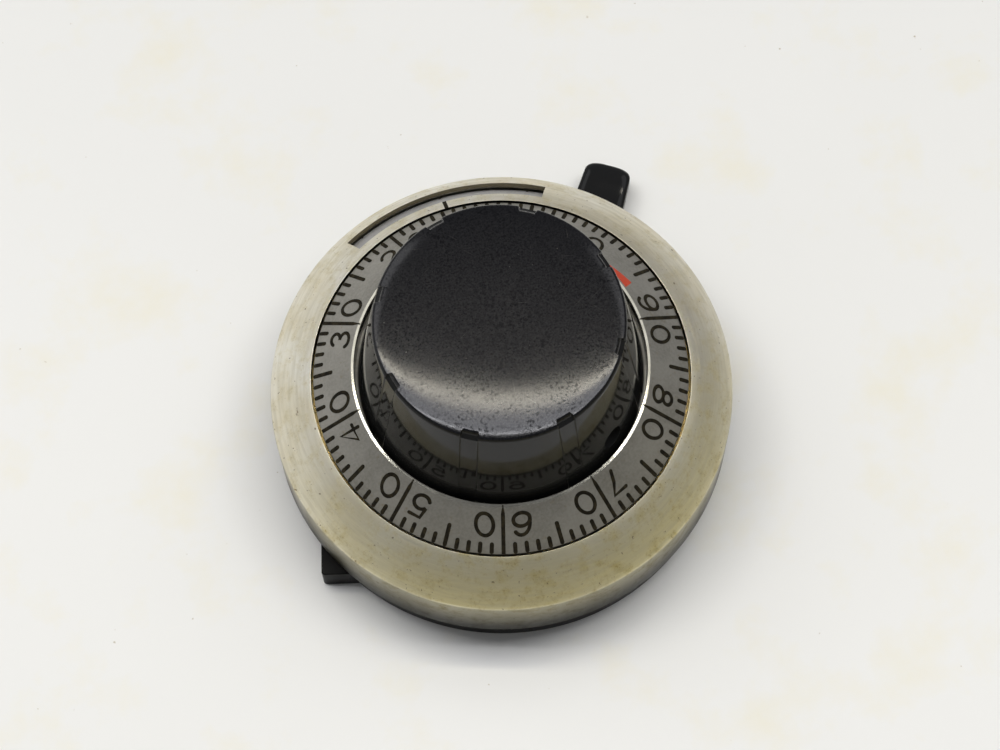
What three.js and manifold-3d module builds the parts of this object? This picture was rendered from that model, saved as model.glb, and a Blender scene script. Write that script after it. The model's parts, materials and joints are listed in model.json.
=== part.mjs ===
// A multi-turn counting dial with a lock lever: the knob turns a 0-100 main dial, and a planet
// pinion creeps a second dial, seen through a window, by one division for each turn of the knob.
//
// Frame: millimetres, +Z along the shaft towards the knob, origin on the shaft axis at the rear
// face that lies on the panel. +Y points to the middle of the window. Angles are degrees about +Z.

import * as THREE from "three";
import { mergeVertices } from "three/addons/utils/BufferGeometryUtils.js";
import Module from "manifold-3d";

const wasm = await Module();
wasm.setup();

// ---- driving dimensions ----

// Cover shell: side wall, then a slightly crowned sloping face up to the rim round the main dial.
const CASE_RADIUS = 23;
const CASE_WALL = 1.2;
const CASE_BOTTOM = 3.55;
const SHOULDER_HEIGHT = 11;
const RIM_RADIUS = 18.7;
const RIM_HEIGHT = 14.65;
const FACE_CROWN = 0.3;
const FACE_THICKNESS = 1.5;
const WINDOW_INNER_RADIUS = 19.75;
const WINDOW_OUTER_RADIUS = 21.65;
const WINDOW_HALF_SPAN = 29;

// Base: a moulded tray under the cover, open in the middle for the nut of the shaft's bushing.
const BASE_RADIUS = 22.4;
const BASE_FLOOR = 1;
const BASE_RIM_HEIGHT = 3.5;
const BASE_RIM_RADIUS = 19.4;
const BASE_BOSS_HEIGHT = 3.3;
const NUT_RECESS_RADIUS = 8.2;
const NUT_RECESS_WALL = 1.4;
const LUG_TURN = -15.2;
const LUG_CORNER_X = -18.6;
const LUG_CORNER_Y = -16.6;
const LUG_SIZE = 7;
const LUG_ROUND = 0.8;
const LUG_INSERT_RADIUS = 1.5;
const LUG_INSERT_ANGLE = 206.5;
const LUG_INSERT_ORBIT = 21.6;

// Bearing plate across the tray, and the bushing in its middle.
const PLATE_BOTTOM = 3.35;
const PLATE_TOP = 4.35;
const PLATE_RADIUS = 19.2;
const HUB_RADIUS = 5;
const HUB_BOTTOM = 2.8;
const HUB_TOP = 24;
const SHAFT_BORE_RADIUS = 3.2;
const RUNNING_GAP = 0.05;
const BUSHING_RADIUS = 6;
const BUSHING_FLANGE_RADIUS = 6.9;
const BUSHING_TOP = 4.7;
const DRUM_RADIUS = 7;
const DRUM_BOTTOM = 5;
const DRUM_TOP = 6.2;

// Planet drive. Both pinions have the same teeth, so the counter turns (60 - 56) / 60 of the knob.
const PRESSURE_ANGLE = 25;
const FIXED_TEETH = 56;
const COUNTER_TEETH = 60;
const PINION_TEETH = 12;
const PLANET_ORBIT = 14;
const PLANET_ANGLE = 195;
const ADDENDUM = 0.8;
const DEDENDUM = 1.1;
const BACKLASH = 0.16;
const FIXED_GEAR_BOTTOM = 6.5;
const FIXED_GEAR_TOP = 8.8;
const COUNTER_GEAR_BOTTOM = 9.1;
const COUNTER_GEAR_TOP = 11.4;
const FIXED_MODULE = (2 * PLANET_ORBIT) / (FIXED_TEETH - PINION_TEETH);
const COUNTER_MODULE = (2 * PLANET_ORBIT) / (COUNTER_TEETH - PINION_TEETH);
const COUNTER_GEAR_OUTER = 19;
const PINION_BORE = 1.06;
const STUD_RADIUS = 1;

// Main dial: a conical scale round a flat web, with a bevelled lip at the scale's inner edge.
const SCALE_OUTER_RADIUS = 18.45;
const SCALE_OUTER_HEIGHT = 14.6;
const SCALE_INNER_RADIUS = 14.58;
const SCALE_INNER_HEIGHT = 17.34;
const LIP_RADIUS = 14.2;
const LIP_HEIGHT = 17.46;
const WEB_TOP = 15.2;
const WEB_BOTTOM = 13.6;
const HUB_FLANGE_RADIUS = 9;
const HUB_FLANGE_THICKNESS = 1.15;
const DIAL_SCREW_ORBIT = 7.2;

// Knob: a tapered moulding with eight shallow flutes and a crowned top.
const KNOB_BOTTOM = 15.4;
const KNOB_BASE_RADIUS = 13.95;
const KNOB_TOP_RADIUS = 11.9;
const KNOB_HEIGHT = 29;
const KNOB_EDGE = 0.5;
const KNOB_CROWN = 0.3;
const FLUTE_COUNT = 8;
const FLUTE_ANGLE = 59.6;
const FLUTE_WIDTH = 1.7;
const FLUTE_DEPTH_TOP = 0.7;
const FLUTE_DEPTH_BOTTOM = 0.4;
const SET_SCREW_HEIGHT = 19;
const SET_SCREW_ANGLES = [305.8, 65.8];
const SET_SCREW_RADIUS = 1;

// Counter dial: a conical ring that runs parallel to the cover's face, just under its window.
const COUNTER_DIAL_DROP = 1.9;
const COUNTER_DIAL_RADIUS = 21.5;
const COUNTER_DIAL_THICKNESS = 0.85;

// Lock lever: swings about a pin in the tray, and its spiral slot draws the brake shoe inwards.
const LEVER_PIVOT_ORBIT = 15.5;
const LEVER_PIVOT_ANGLE = 45.2;
const LEVER_REST_SWING = 11.5;
const LEVER_TRAVEL = 23;
const LEVER_BOTTOM = 1.1;
const LEVER_TOP = 3.2;
const LEVER_HEAD_RADIUS = 5.4;
const LEVER_LENGTH = 15;
const LEVER_ROOT_HALF_WIDTH = 3.4;
const LEVER_TIP_HALF_WIDTH = 2.25;
const LEVER_ROUND = 0.7;
const PEG_RADIUS = 0.7;
const PEG_DISTANCE = 3.3;
const SLOT_HALF_WIDTH = 0.8;
const BRAKE_TRAVEL = 0.55;
const SHOE_HALF_WIDTH = 1.9;
const SHOE_TOP = 5.9;

// Screws.
const SCREW_RADIUS = 0.75;
const SCREW_CLEARANCE = 0.06;
const SCREW_HEAD_RADIUS = 1.3;
const SCREW_HEAD_HEIGHT = 0.8;
const COVER_SCREW_ORBIT = 20.6;
const COVER_SCREW_ANGLES = [5, 125, 245];
const FRAME_SCREW_ORBIT = 17.7;
const FRAME_SCREW_ANGLES = [105.2, 225.2, 345.2];
const DIAL_SCREW_ANGLES = [15, 135, 255];

const FINE = 52; // facets round the large rings
const MEDIUM = 36; // facets round the hub and the knob
const SMALL = 12; // facets round pins and screws

// ---- materials ----

const paint = (color, roughness, metalness) =>
  new THREE.MeshStandardMaterial({ color, roughness, metalness });
const satinNickel = () => paint(0xc8c3ae, 0.42, 1);
const greyAluminium = () => paint(0x9a9a98, 0.45, 1);
const blackPhenolic = () => paint(0x141416, 0.22, 0);
const blackMoulding = () => paint(0x101010, 0.5, 0);
const brass = () => paint(0xb89a55, 0.35, 1);
const steel = () => paint(0x8f9194, 0.35, 1);
const nylon = () => paint(0xe6e1d2, 0.6, 0);
const cork = () => paint(0x6b4a32, 0.9, 0);

// ---- geometry helpers ----

const rad = THREE.MathUtils.degToRad;
const polar = (radius, angle) => [radius * Math.cos(rad(angle)), radius * Math.sin(rad(angle))];

// The closed surface of a three.js geometry as a manifold-3d solid, facing outwards.
function solid(geometry) {
  const bare = geometry.clone();
  bare.deleteAttribute("normal");
  bare.deleteAttribute("uv");
  const merged = mergeVertices(bare, 1e-4);
  const vertProperties = merged.attributes.position.array;
  const build = (triVerts) =>
    new wasm.Manifold(new wasm.Mesh({ numProp: 3, vertProperties, triVerts }));
  const made = build(new Uint32Array(merged.index.array));
  return made.volume() > 0 ? made : build(new Uint32Array(merged.index.array).reverse());
}

// A ring or disc turned from a closed outline of [radius, height] points.
function turned(outline, facets) {
  const points = outline.map(([radius, height]) => new THREE.Vector2(radius, height));
  points.push(points[0].clone());
  return solid(new THREE.LatheGeometry(points, facets).rotateX(Math.PI / 2));
}

// A washer-shaped ring.
function ring(inner, outer, bottom, top, facets) {
  return turned([[inner, bottom], [outer, bottom], [outer, top], [inner, top]], facets);
}

// An upright cylinder at a place in plan.
function pin(radius, bottom, top, [x, y] = [0, 0], facets = SMALL) {
  const height = top - bottom;
  const cylinder = new THREE.CylinderGeometry(radius, radius, height, facets);
  return solid(cylinder.rotateX(Math.PI / 2).translate(x, y, bottom + height / 2));
}

// A cylinder that lies along the radius at an angle, between two distances from the axis.
function radialPin(radius, near, far, angle, height, facets = SMALL) {
  const length = far - near;
  const cylinder = new THREE.CylinderGeometry(radius, radius, length, facets).rotateZ(Math.PI / 2);
  return solid(cylinder.translate(near + length / 2, 0, height).rotateZ(rad(angle)));
}

// A flat shape raised between two heights, then turned about the axis.
function raised(shape, bottom, top, angle = 0) {
  const settings = { depth: top - bottom, bevelEnabled: false, curveSegments: 4 };
  const geometry = new THREE.ExtrudeGeometry(shape, settings);
  return solid(geometry.translate(0, 0, bottom).rotateZ(rad(angle)));
}

// A block given by its low and high corners, turned about the axis.
function block([x0, y0, z0], [x1, y1, z1], angle = 0) {
  const geometry = new THREE.BoxGeometry(x1 - x0, y1 - y0, z1 - z0);
  geometry.translate((x0 + x1) / 2, (y0 + y1) / 2, (z0 + z1) / 2);
  return solid(geometry.rotateZ(rad(angle)));
}

const joined = (pieces) => pieces.reduce((whole, piece) => whole.add(piece));
const cutFrom = (body, pieces) => pieces.reduce((rest, piece) => rest.subtract(piece), body);

// A named mesh made from a solid.
function mesh(name, body, material) {
  const { vertProperties, triVerts } = body.getMesh();
  const geometry = new THREE.BufferGeometry();
  geometry.setAttribute("position", new THREE.BufferAttribute(vertProperties, 3));
  geometry.setIndex(new THREE.BufferAttribute(triVerts, 1));
  geometry.computeVertexNormals();
  const made = new THREE.Mesh(geometry, material);
  made.name = name;
  return made;
}

// ---- gear teeth ----

// The outline of a spur gear with involute flanks, its first tooth centred on the start angle.
// An internal gear is cut with the same outline, whose teeth are then the ring's spaces.
function gearOutline({ teeth, module, flankRadii, toothWidth, startAngle }) {
  const pitchRadius = (module * teeth) / 2;
  const baseRadius = pitchRadius * Math.cos(rad(PRESSURE_ANGLE));
  const involute = (angle) => Math.tan(angle) - angle;
  const halfAngle = (radius) => {
    const pressure = Math.acos(Math.min(1, baseRadius / Math.max(radius, baseRadius)));
    return toothWidth / 2 / pitchRadius + involute(rad(PRESSURE_ANGLE)) - involute(pressure);
  };
  const points = [];
  for (let tooth = 0; tooth < teeth; tooth += 1) {
    const centre = rad(startAngle) + (2 * Math.PI * tooth) / teeth;
    const rising = flankRadii.map((radius) => [radius, centre - halfAngle(radius)]);
    const falling = flankRadii.map((radius) => [radius, centre + halfAngle(radius)]).reverse();
    for (const [radius, angle] of [...rising, ...falling])
      points.push(new THREE.Vector2(radius * Math.cos(angle), radius * Math.sin(angle)));
  }
  return points;
}

// A ring with internal teeth, one space of which is centred on the planet.
function internalGear(teeth, module, outerRadius, bottom, top) {
  const pitchRadius = (module * teeth) / 2;
  const shape = new THREE.Shape().absarc(0, 0, outerRadius, 0, 2 * Math.PI, false);
  const spaces = gearOutline({
    teeth,
    module,
    flankRadii: [pitchRadius - ADDENDUM * module, pitchRadius + DEDENDUM * module],
    toothWidth: (Math.PI * module + BACKLASH) / 2,
    startAngle: PLANET_ANGLE,
  });
  shape.holes.push(new THREE.Path(spaces));
  const settings = { depth: top - bottom, bevelEnabled: false, curveSegments: FINE / 2 };
  return solid(new THREE.ExtrudeGeometry(shape, settings).translate(0, 0, bottom));
}

// One step of the planet pinion, centred on its own axis with a tooth pointing outwards.
function pinionStep(module, bottom, top) {
  const pitchRadius = (module * PINION_TEETH) / 2;
  const outline = gearOutline({
    teeth: PINION_TEETH,
    module,
    flankRadii: [pitchRadius - DEDENDUM * module, pitchRadius, pitchRadius + ADDENDUM * module],
    toothWidth: (Math.PI * module - BACKLASH) / 2,
    startAngle: PLANET_ANGLE,
  });
  return raised(new THREE.Shape(outline), bottom, top);
}

// ---- housing ----

// Height of the cover's face at a radius, and the same curve lowered by an offset.
function faceHeight(radius) {
  const across = (radius - RIM_RADIUS) / (CASE_RADIUS - RIM_RADIUS);
  const crown = 4 * FACE_CROWN * across * (1 - across);
  return RIM_HEIGHT + across * (SHOULDER_HEIGHT - RIM_HEIGHT) + crown;
}

function facePoints(innerRadius, outerRadius, drop, steps) {
  return Array.from({ length: steps + 1 }, (_, step) => {
    const radius = outerRadius + ((innerRadius - outerRadius) * step) / steps;
    return [radius, faceHeight(radius) - drop];
  });
}

// The arc-shaped window, as a prism through the face.
function windowPrism() {
  const start = rad(90 - WINDOW_HALF_SPAN);
  const end = rad(90 + WINDOW_HALF_SPAN);
  const shape = new THREE.Shape();
  shape.absarc(0, 0, WINDOW_OUTER_RADIUS, start, end, false);
  shape.absarc(0, 0, WINDOW_INNER_RADIUS, end, start, true);
  return raised(shape, SHOULDER_HEIGHT - 2, RIM_HEIGHT + 1);
}

function coverShell() {
  const edge = 0.25;
  const inside = CASE_RADIUS - CASE_WALL;
  const bossTop = 8;
  const bossRadius = 1.3;
  const shell = turned(
    [
      [inside, CASE_BOTTOM],
      [CASE_RADIUS - edge, CASE_BOTTOM],
      [CASE_RADIUS, CASE_BOTTOM + edge],
      [CASE_RADIUS, SHOULDER_HEIGHT - edge / 2],
      ...facePoints(RIM_RADIUS, CASE_RADIUS - edge / 3, 0, 3),
      ...facePoints(RIM_RADIUS, inside, FACE_THICKNESS, 1).reverse(),
    ],
    FINE,
  );
  const places = COVER_SCREW_ANGLES.map((angle) => polar(COVER_SCREW_ORBIT, angle));
  const bosses = places.map((place) => pin(bossRadius, CASE_BOTTOM, bossTop, place));
  const holes = places.map((place) =>
    pin(SCREW_RADIUS + SCREW_CLEARANCE, CASE_BOTTOM - 1, bossTop - 0.8, place),
  );
  const body = cutFrom(joined([shell, ...bosses]), [windowPrism(), ...holes]);
  return mesh("cover_shell", body, satinNickel());
}

// The square-cornered lug that stands out of the tray and takes the anti-rotation screw.
function locatingLug() {
  const shape = new THREE.Shape();
  const roundX = LUG_CORNER_X + LUG_ROUND;
  const roundY = LUG_CORNER_Y + LUG_ROUND;
  shape.moveTo(LUG_CORNER_X, LUG_CORNER_Y + LUG_SIZE);
  shape.lineTo(LUG_CORNER_X, roundY);
  shape.absarc(roundX, roundY, LUG_ROUND, Math.PI, 1.5 * Math.PI, false);
  shape.lineTo(LUG_CORNER_X + LUG_SIZE, LUG_CORNER_Y);
  return raised(shape, 0, BASE_RIM_HEIGHT - 0.1, LUG_TURN);
}

// The room that the swinging lever needs above the tray's floor.
function leverRoom() {
  const place = polar(LEVER_PIVOT_ORBIT, LEVER_PIVOT_ANGLE);
  const top = BASE_RIM_HEIGHT + 1;
  const steps = 5;
  const margin = 0.35;
  const sweeps = Array.from({ length: steps }, (_, step) => {
    const swing = LEVER_REST_SWING - (LEVER_TRAVEL * step) / (steps - 1);
    const half = LEVER_ROOT_HALF_WIDTH + margin;
    const geometry = new THREE.BoxGeometry(LEVER_LENGTH, 2 * half, top - BASE_FLOOR);
    geometry.translate(LEVER_LENGTH / 2, 0, (top + BASE_FLOOR) / 2);
    geometry.rotateZ(rad(LEVER_PIVOT_ANGLE + swing)).translate(...place, 0);
    return solid(geometry);
  });
  const head = pin(LEVER_HEAD_RADIUS + margin, BASE_FLOOR, top, place, 32);
  return joined([head, ...sweeps]);
}

function basePlate() {
  const bossRadius = 1.9;
  const counterbore = 1.15;
  const headRoom = SCREW_HEAD_RADIUS + 0.1;
  const framePlaces = FRAME_SCREW_ANGLES.map((angle) => polar(FRAME_SCREW_ORBIT, angle));
  const coverPlaces = COVER_SCREW_ANGLES.map((angle) => polar(COVER_SCREW_ORBIT, angle));
  const pivot = polar(LEVER_PIVOT_ORBIT, LEVER_PIVOT_ANGLE);
  const recessWall = NUT_RECESS_RADIUS + NUT_RECESS_WALL;
  const tray = turned(
    [
      [NUT_RECESS_RADIUS, 0],
      [BASE_RADIUS, 0],
      [BASE_RADIUS, BASE_RIM_HEIGHT],
      [BASE_RIM_RADIUS, BASE_RIM_HEIGHT],
      [BASE_RIM_RADIUS, BASE_FLOOR],
      [recessWall, BASE_FLOOR],
      [recessWall, BASE_BOSS_HEIGHT],
      [NUT_RECESS_RADIUS, BASE_BOSS_HEIGHT],
    ],
    FINE,
  );
  const lug = locatingLug().subtract(pin(BASE_RIM_RADIUS, BASE_FLOOR, 5, [0, 0], FINE));
  const bosses = framePlaces.map((place) => pin(bossRadius, 0.2, BASE_BOSS_HEIGHT, place));
  const screwHole = SCREW_RADIUS + SCREW_CLEARANCE;
  const holes = [...framePlaces, ...coverPlaces].flatMap((place) => [
    pin(screwHole, -1, 5, place),
    pin(headRoom, -1, counterbore, place),
  ]);
  const pivotHole = pin(STUD_RADIUS + RUNNING_GAP, -1, 5, pivot);
  const pivotHead = pin(1.75, -1, 0.8, pivot);
  const insertPlace = polar(LUG_INSERT_ORBIT, LUG_INSERT_ANGLE);
  const insertHole = pin(LUG_INSERT_RADIUS + RUNNING_GAP, -1, 2.7, insertPlace);
  const body = cutFrom(joined([tray, lug, ...bosses]), [
    leverRoom(),
    ...holes,
    pivotHole,
    pivotHead,
    insertHole,
  ]);
  return mesh("base_plate", body, blackMoulding());
}

function lugInsert() {
  const place = polar(LUG_INSERT_ORBIT, LUG_INSERT_ANGLE);
  const body = pin(LUG_INSERT_RADIUS, 0.05, 2.6, place).subtract(pin(0.8, -1, 2, place));
  return mesh("lug_insert", body, brass());
}

function bearingPlate() {
  const railGap = SHOE_HALF_WIDTH + 0.15;
  const railTop = 5.3;
  const rails = [1, -1].map((side) =>
    block(
      [9.2, Math.min(side * railGap, side * (railGap + 0.9)), PLATE_TOP - 0.3],
      [13, Math.max(side * railGap, side * (railGap + 0.9)), railTop],
      LEVER_PIVOT_ANGLE,
    ),
  );
  const pegOrbit = LEVER_PIVOT_ORBIT - PEG_DISTANCE;
  const slotEnd = PEG_RADIUS + 0.15;
  const slot = block(
    [pegOrbit - BRAKE_TRAVEL - slotEnd, -slotEnd, PLATE_BOTTOM - 1],
    [pegOrbit + slotEnd, slotEnd, PLATE_TOP + 1],
    LEVER_PIVOT_ANGLE,
  );
  const screwHoles = FRAME_SCREW_ANGLES.map((angle) =>
    pin(SCREW_RADIUS + SCREW_CLEARANCE, 0, 6, polar(FRAME_SCREW_ORBIT, angle)),
  );
  const pivotHole = pin(
    STUD_RADIUS + RUNNING_GAP,
    0,
    6,
    polar(LEVER_PIVOT_ORBIT, LEVER_PIVOT_ANGLE),
  );
  const disc = ring(BUSHING_RADIUS + RUNNING_GAP, PLATE_RADIUS, PLATE_BOTTOM, PLATE_TOP, FINE);
  const body = cutFrom(joined([disc, ...rails]), [slot, pivotHole, ...screwHoles]);
  return mesh("bearing_plate", body, steel());
}

function hubBushing() {
  const bore = HUB_RADIUS + RUNNING_GAP;
  const seat = PLATE_TOP + 0.02;
  const outline = [
    [bore, PLATE_BOTTOM],
    [BUSHING_RADIUS, PLATE_BOTTOM],
    [BUSHING_RADIUS, seat],
    [BUSHING_FLANGE_RADIUS, seat],
    [BUSHING_FLANGE_RADIUS, BUSHING_TOP],
    [bore, BUSHING_TOP],
  ];
  return mesh("hub_bushing", turned(outline, MEDIUM), brass());
}

function fixedRingGear() {
  const outer = PLATE_RADIUS;
  const bottom = PLATE_TOP + 0.05;
  const teeth = internalGear(FIXED_TEETH, FIXED_MODULE, outer, FIXED_GEAR_BOTTOM, FIXED_GEAR_TOP);
  const skirt = turned(
    [
      [16.6, bottom],
      [outer, bottom],
      [outer, FIXED_GEAR_BOTTOM + 0.1],
      [18.6, FIXED_GEAR_BOTTOM + 0.1],
      [18.6, bottom + 1],
      [16.6, bottom + 1],
    ],
    FINE,
  );
  const holes = FRAME_SCREW_ANGLES.map((angle) =>
    pin(SCREW_RADIUS + SCREW_CLEARANCE, 0, 6, polar(FRAME_SCREW_ORBIT, angle)),
  );
  return mesh("fixed_ring_gear", cutFrom(joined([skirt, teeth]), holes), brass());
}

// The low-friction ring that the counter dial's flange turns on.
function counterRunner() {
  const body = ring(20.25, CASE_RADIUS - CASE_WALL - 0.05, 8.05, 9.45, FINE);
  return mesh("counter_runner", body, nylon());
}

function leverPivotPin() {
  const place = polar(LEVER_PIVOT_ORBIT, LEVER_PIVOT_ANGLE);
  const shank = pin(STUD_RADIUS, 0.5, PLATE_TOP - 0.05, place);
  return mesh("lever_pivot_pin", shank.add(pin(1.6, 0.2, 0.7, place)), steel());
}

// A slotted cheese-head screw whose head lies at the bottom, or at the top when it is turned over.
function screw(name, place, headFace, shankEnd, slotAngle) {
  const up = Math.sign(shankEnd - headFace);
  const between = (radius, from, to) => pin(radius, Math.min(from, to), Math.max(from, to), place);
  const headEnd = headFace + up * SCREW_HEAD_HEIGHT;
  const head = between(SCREW_HEAD_RADIUS, headFace, headEnd);
  const shank = between(SCREW_RADIUS, headEnd - up * 0.1, shankEnd);
  const slotDepth = headFace + up * 0.4;
  const low = Math.min(headFace - up, slotDepth);
  const high = Math.max(headFace - up, slotDepth);
  const slot = new THREE.BoxGeometry(4, 0.35, high - low);
  slot.rotateZ(rad(slotAngle)).translate(...place, (low + high) / 2);
  return mesh(name, head.add(shank).subtract(solid(slot)), steel());
}

function housing() {
  const group = new THREE.Group();
  group.add(coverShell(), basePlate(), lugInsert(), bearingPlate(), hubBushing());
  group.add(fixedRingGear(), counterRunner(), leverPivotPin());
  COVER_SCREW_ANGLES.forEach((angle, index) => {
    group.add(screw(`cover_screw_${index + 1}`, polar(COVER_SCREW_ORBIT, angle), 0.3, 6.6, 25));
  });
  FRAME_SCREW_ANGLES.forEach((angle, index) => {
    group.add(screw(`frame_screw_${index + 1}`, polar(FRAME_SCREW_ORBIT, angle), 0.3, 5.3, 70));
  });
  return group;
}

// ---- knob and main dial ----

function mainDial() {
  const hole = HUB_RADIUS + RUNNING_GAP;
  const body = turned(
    [
      [hole, WEB_BOTTOM],
      [SCALE_OUTER_RADIUS - 0.5, WEB_BOTTOM],
      [SCALE_OUTER_RADIUS, WEB_BOTTOM + 0.4],
      [SCALE_OUTER_RADIUS, SCALE_OUTER_HEIGHT],
      [SCALE_INNER_RADIUS, SCALE_INNER_HEIGHT],
      [LIP_RADIUS, LIP_HEIGHT],
      [LIP_RADIUS, WEB_TOP],
      [hole, WEB_TOP],
    ],
    FINE,
  );
  const studHole = pin(0.95, 0, WEB_TOP + 1, polar(PLANET_ORBIT - 0.9, PLANET_ANGLE));
  const screwHoles = DIAL_SCREW_ANGLES.flatMap((angle) => {
    const place = polar(DIAL_SCREW_ORBIT, angle);
    return [
      pin(SCREW_RADIUS + SCREW_CLEARANCE, 0, 20, place),
      pin(SCREW_HEAD_RADIUS + 0.1, WEB_TOP - SCREW_HEAD_HEIGHT - 0.05, 20, place),
    ];
  });
  return mesh("main_dial", cutFrom(body, [studHole, ...screwHoles]), greyAluminium());
}

function hub() {
  const flangeTop = WEB_BOTTOM - 0.05;
  const flangeBottom = flangeTop - HUB_FLANGE_THICKNESS;
  const grooveRadius = 4.5;
  const outline = [
    [SHAFT_BORE_RADIUS, HUB_BOTTOM],
    [HUB_RADIUS - 0.2, HUB_BOTTOM],
    [HUB_RADIUS - 0.2, HUB_BOTTOM + 0.12],
    [grooveRadius, HUB_BOTTOM + 0.12],
    [grooveRadius, PLATE_BOTTOM],
    [HUB_RADIUS, PLATE_BOTTOM],
    [HUB_RADIUS, DRUM_BOTTOM],
    [DRUM_RADIUS, DRUM_BOTTOM],
    [DRUM_RADIUS, DRUM_TOP],
    [HUB_RADIUS, DRUM_TOP],
    [HUB_RADIUS, flangeBottom],
    [HUB_FLANGE_RADIUS, flangeBottom],
    [HUB_FLANGE_RADIUS, flangeTop],
    [HUB_RADIUS, flangeTop],
    [HUB_RADIUS, HUB_TOP],
    [SHAFT_BORE_RADIUS, HUB_TOP],
  ];
  const setScrewHoles = SET_SCREW_ANGLES.map((angle) =>
    radialPin(SET_SCREW_RADIUS + RUNNING_GAP, 1, 7, angle, SET_SCREW_HEIGHT),
  );
  const dialScrewHoles = DIAL_SCREW_ANGLES.map((angle) =>
    pin(SCREW_RADIUS + SCREW_CLEARANCE, 8, 20, polar(DIAL_SCREW_ORBIT, angle)),
  );
  const body = cutFrom(turned(outline, MEDIUM), [...setScrewHoles, ...dialScrewHoles]);
  return mesh("hub", body, brass());
}

// The retaining clip in the hub's lower groove: a ring with a gap.
function hubClip() {
  const bottom = HUB_BOTTOM + 0.14;
  const clip = ring(4.55, 6.2, bottom, PLATE_BOTTOM - 0.03, MEDIUM);
  return mesh("hub_clip", clip.subtract(block([2, -1.5, 0], [9, 1.5, 5], 90)), steel());
}

function thrustWasher() {
  const body = ring(HUB_RADIUS + RUNNING_GAP, 6.8, BUSHING_TOP + 0.03, DRUM_BOTTOM - 0.03, MEDIUM);
  return mesh("thrust_washer", body, nylon());
}

// Radius of the knob's tapered side at a height.
function knobRadius(height) {
  const along = (height - KNOB_BOTTOM) / (KNOB_HEIGHT - KNOB_BOTTOM);
  return KNOB_BASE_RADIUS + along * (KNOB_TOP_RADIUS - KNOB_BASE_RADIUS);
}

// The tool that cuts one flute: a wedge that is deeper at the knob's top than at its foot.
function fluteTool(angle) {
  const above = KNOB_HEIGHT + 1;
  const foot = KNOB_BOTTOM + 0.9;
  const shape = new THREE.Shape();
  shape.moveTo(knobRadius(foot) - FLUTE_DEPTH_BOTTOM, foot);
  shape.lineTo(knobRadius(foot) + 2, foot);
  shape.lineTo(knobRadius(above) + 2, above);
  shape.lineTo(knobRadius(above) - FLUTE_DEPTH_TOP, above);
  const settings = { depth: FLUTE_WIDTH, bevelEnabled: false };
  const wedge = new THREE.ExtrudeGeometry(shape, settings).translate(0, 0, -FLUTE_WIDTH / 2);
  return solid(wedge.rotateX(Math.PI / 2).rotateZ(rad(angle)));
}

function knob() {
  const boreTop = HUB_TOP + 0.3;
  const bossRadius = 8;
  const cavityTop = 25.5;
  const wall = 2;
  const edgeRadius = KNOB_TOP_RADIUS - KNOB_EDGE;
  const edgeArc = [0, 45, 90].map((turn) => [
    edgeRadius + KNOB_EDGE * Math.cos(rad(turn)),
    KNOB_HEIGHT - KNOB_EDGE + KNOB_EDGE * Math.sin(rad(turn)),
  ]);
  const crown = [0.5, 0].map((share) => [
    edgeRadius * share,
    KNOB_HEIGHT + KNOB_CROWN * (1 - share * share),
  ]);
  const outline = [
    [0, boreTop],
    [HUB_RADIUS + RUNNING_GAP, boreTop],
    [HUB_RADIUS + RUNNING_GAP, KNOB_BOTTOM],
    [bossRadius, KNOB_BOTTOM],
    [bossRadius, cavityTop],
    [knobRadius(cavityTop) - wall, cavityTop],
    [knobRadius(KNOB_BOTTOM) - wall, KNOB_BOTTOM],
    [KNOB_BASE_RADIUS, KNOB_BOTTOM],
    ...edgeArc,
    ...crown,
  ];
  const flutes = Array.from({ length: FLUTE_COUNT }, (_, index) =>
    fluteTool(FLUTE_ANGLE + (360 / FLUTE_COUNT) * index),
  );
  const screwHoles = SET_SCREW_ANGLES.map((angle) =>
    radialPin(SET_SCREW_RADIUS + 0.25, 1, KNOB_BASE_RADIUS + 1, angle, SET_SCREW_HEIGHT),
  );
  const body = cutFrom(turned(outline, MEDIUM), [...flutes, ...screwHoles]);
  return mesh("knob", body, blackPhenolic());
}

function setScrew(name, angle) {
  const far = 6.4;
  const body = radialPin(SET_SCREW_RADIUS, 3.3, far, angle, SET_SCREW_HEIGHT);
  const socket = radialPin(0.5, far - 1.2, far + 1, angle, SET_SCREW_HEIGHT, 6);
  return mesh(name, body.subtract(socket), steel());
}

// The post under the main dial that carries the planet pinion, with a groove for its clip.
function planetStud() {
  const flange = 13;
  const grooveRadius = 0.65;
  const [x, y] = polar(PLANET_ORBIT, PLANET_ANGLE);
  const [shankX, shankY] = polar(PLANET_ORBIT - 0.9, PLANET_ANGLE);
  const journal = pin(STUD_RADIUS, 6.45, flange + 0.2, [x, y]);
  const neck = pin(grooveRadius, 6.1, 6.6, [x, y]);
  const button = pin(STUD_RADIUS - 0.05, 5.98, 6.14, [x, y]);
  const collar = pin(2.2, flange, WEB_BOTTOM - 0.05, [x, y]);
  const shank = pin(0.9, WEB_BOTTOM - 0.2, WEB_TOP - 0.1, [shankX, shankY]);
  return mesh("planet_stud", joined([journal, neck, button, collar, shank]), steel());
}

function planetClip() {
  const place = polar(PLANET_ORBIT, PLANET_ANGLE);
  const clip = pin(1.9, 6.17, 6.42, place).subtract(pin(0.7, 6, 7, place));
  const gap = new THREE.BoxGeometry(3, 0.8, 1).translate(1.5, 0, 6.3);
  gap.rotateZ(rad(PLANET_ANGLE + 180)).translate(...place, 0);
  return mesh("planet_clip", clip.subtract(solid(gap)), steel());
}

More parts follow.
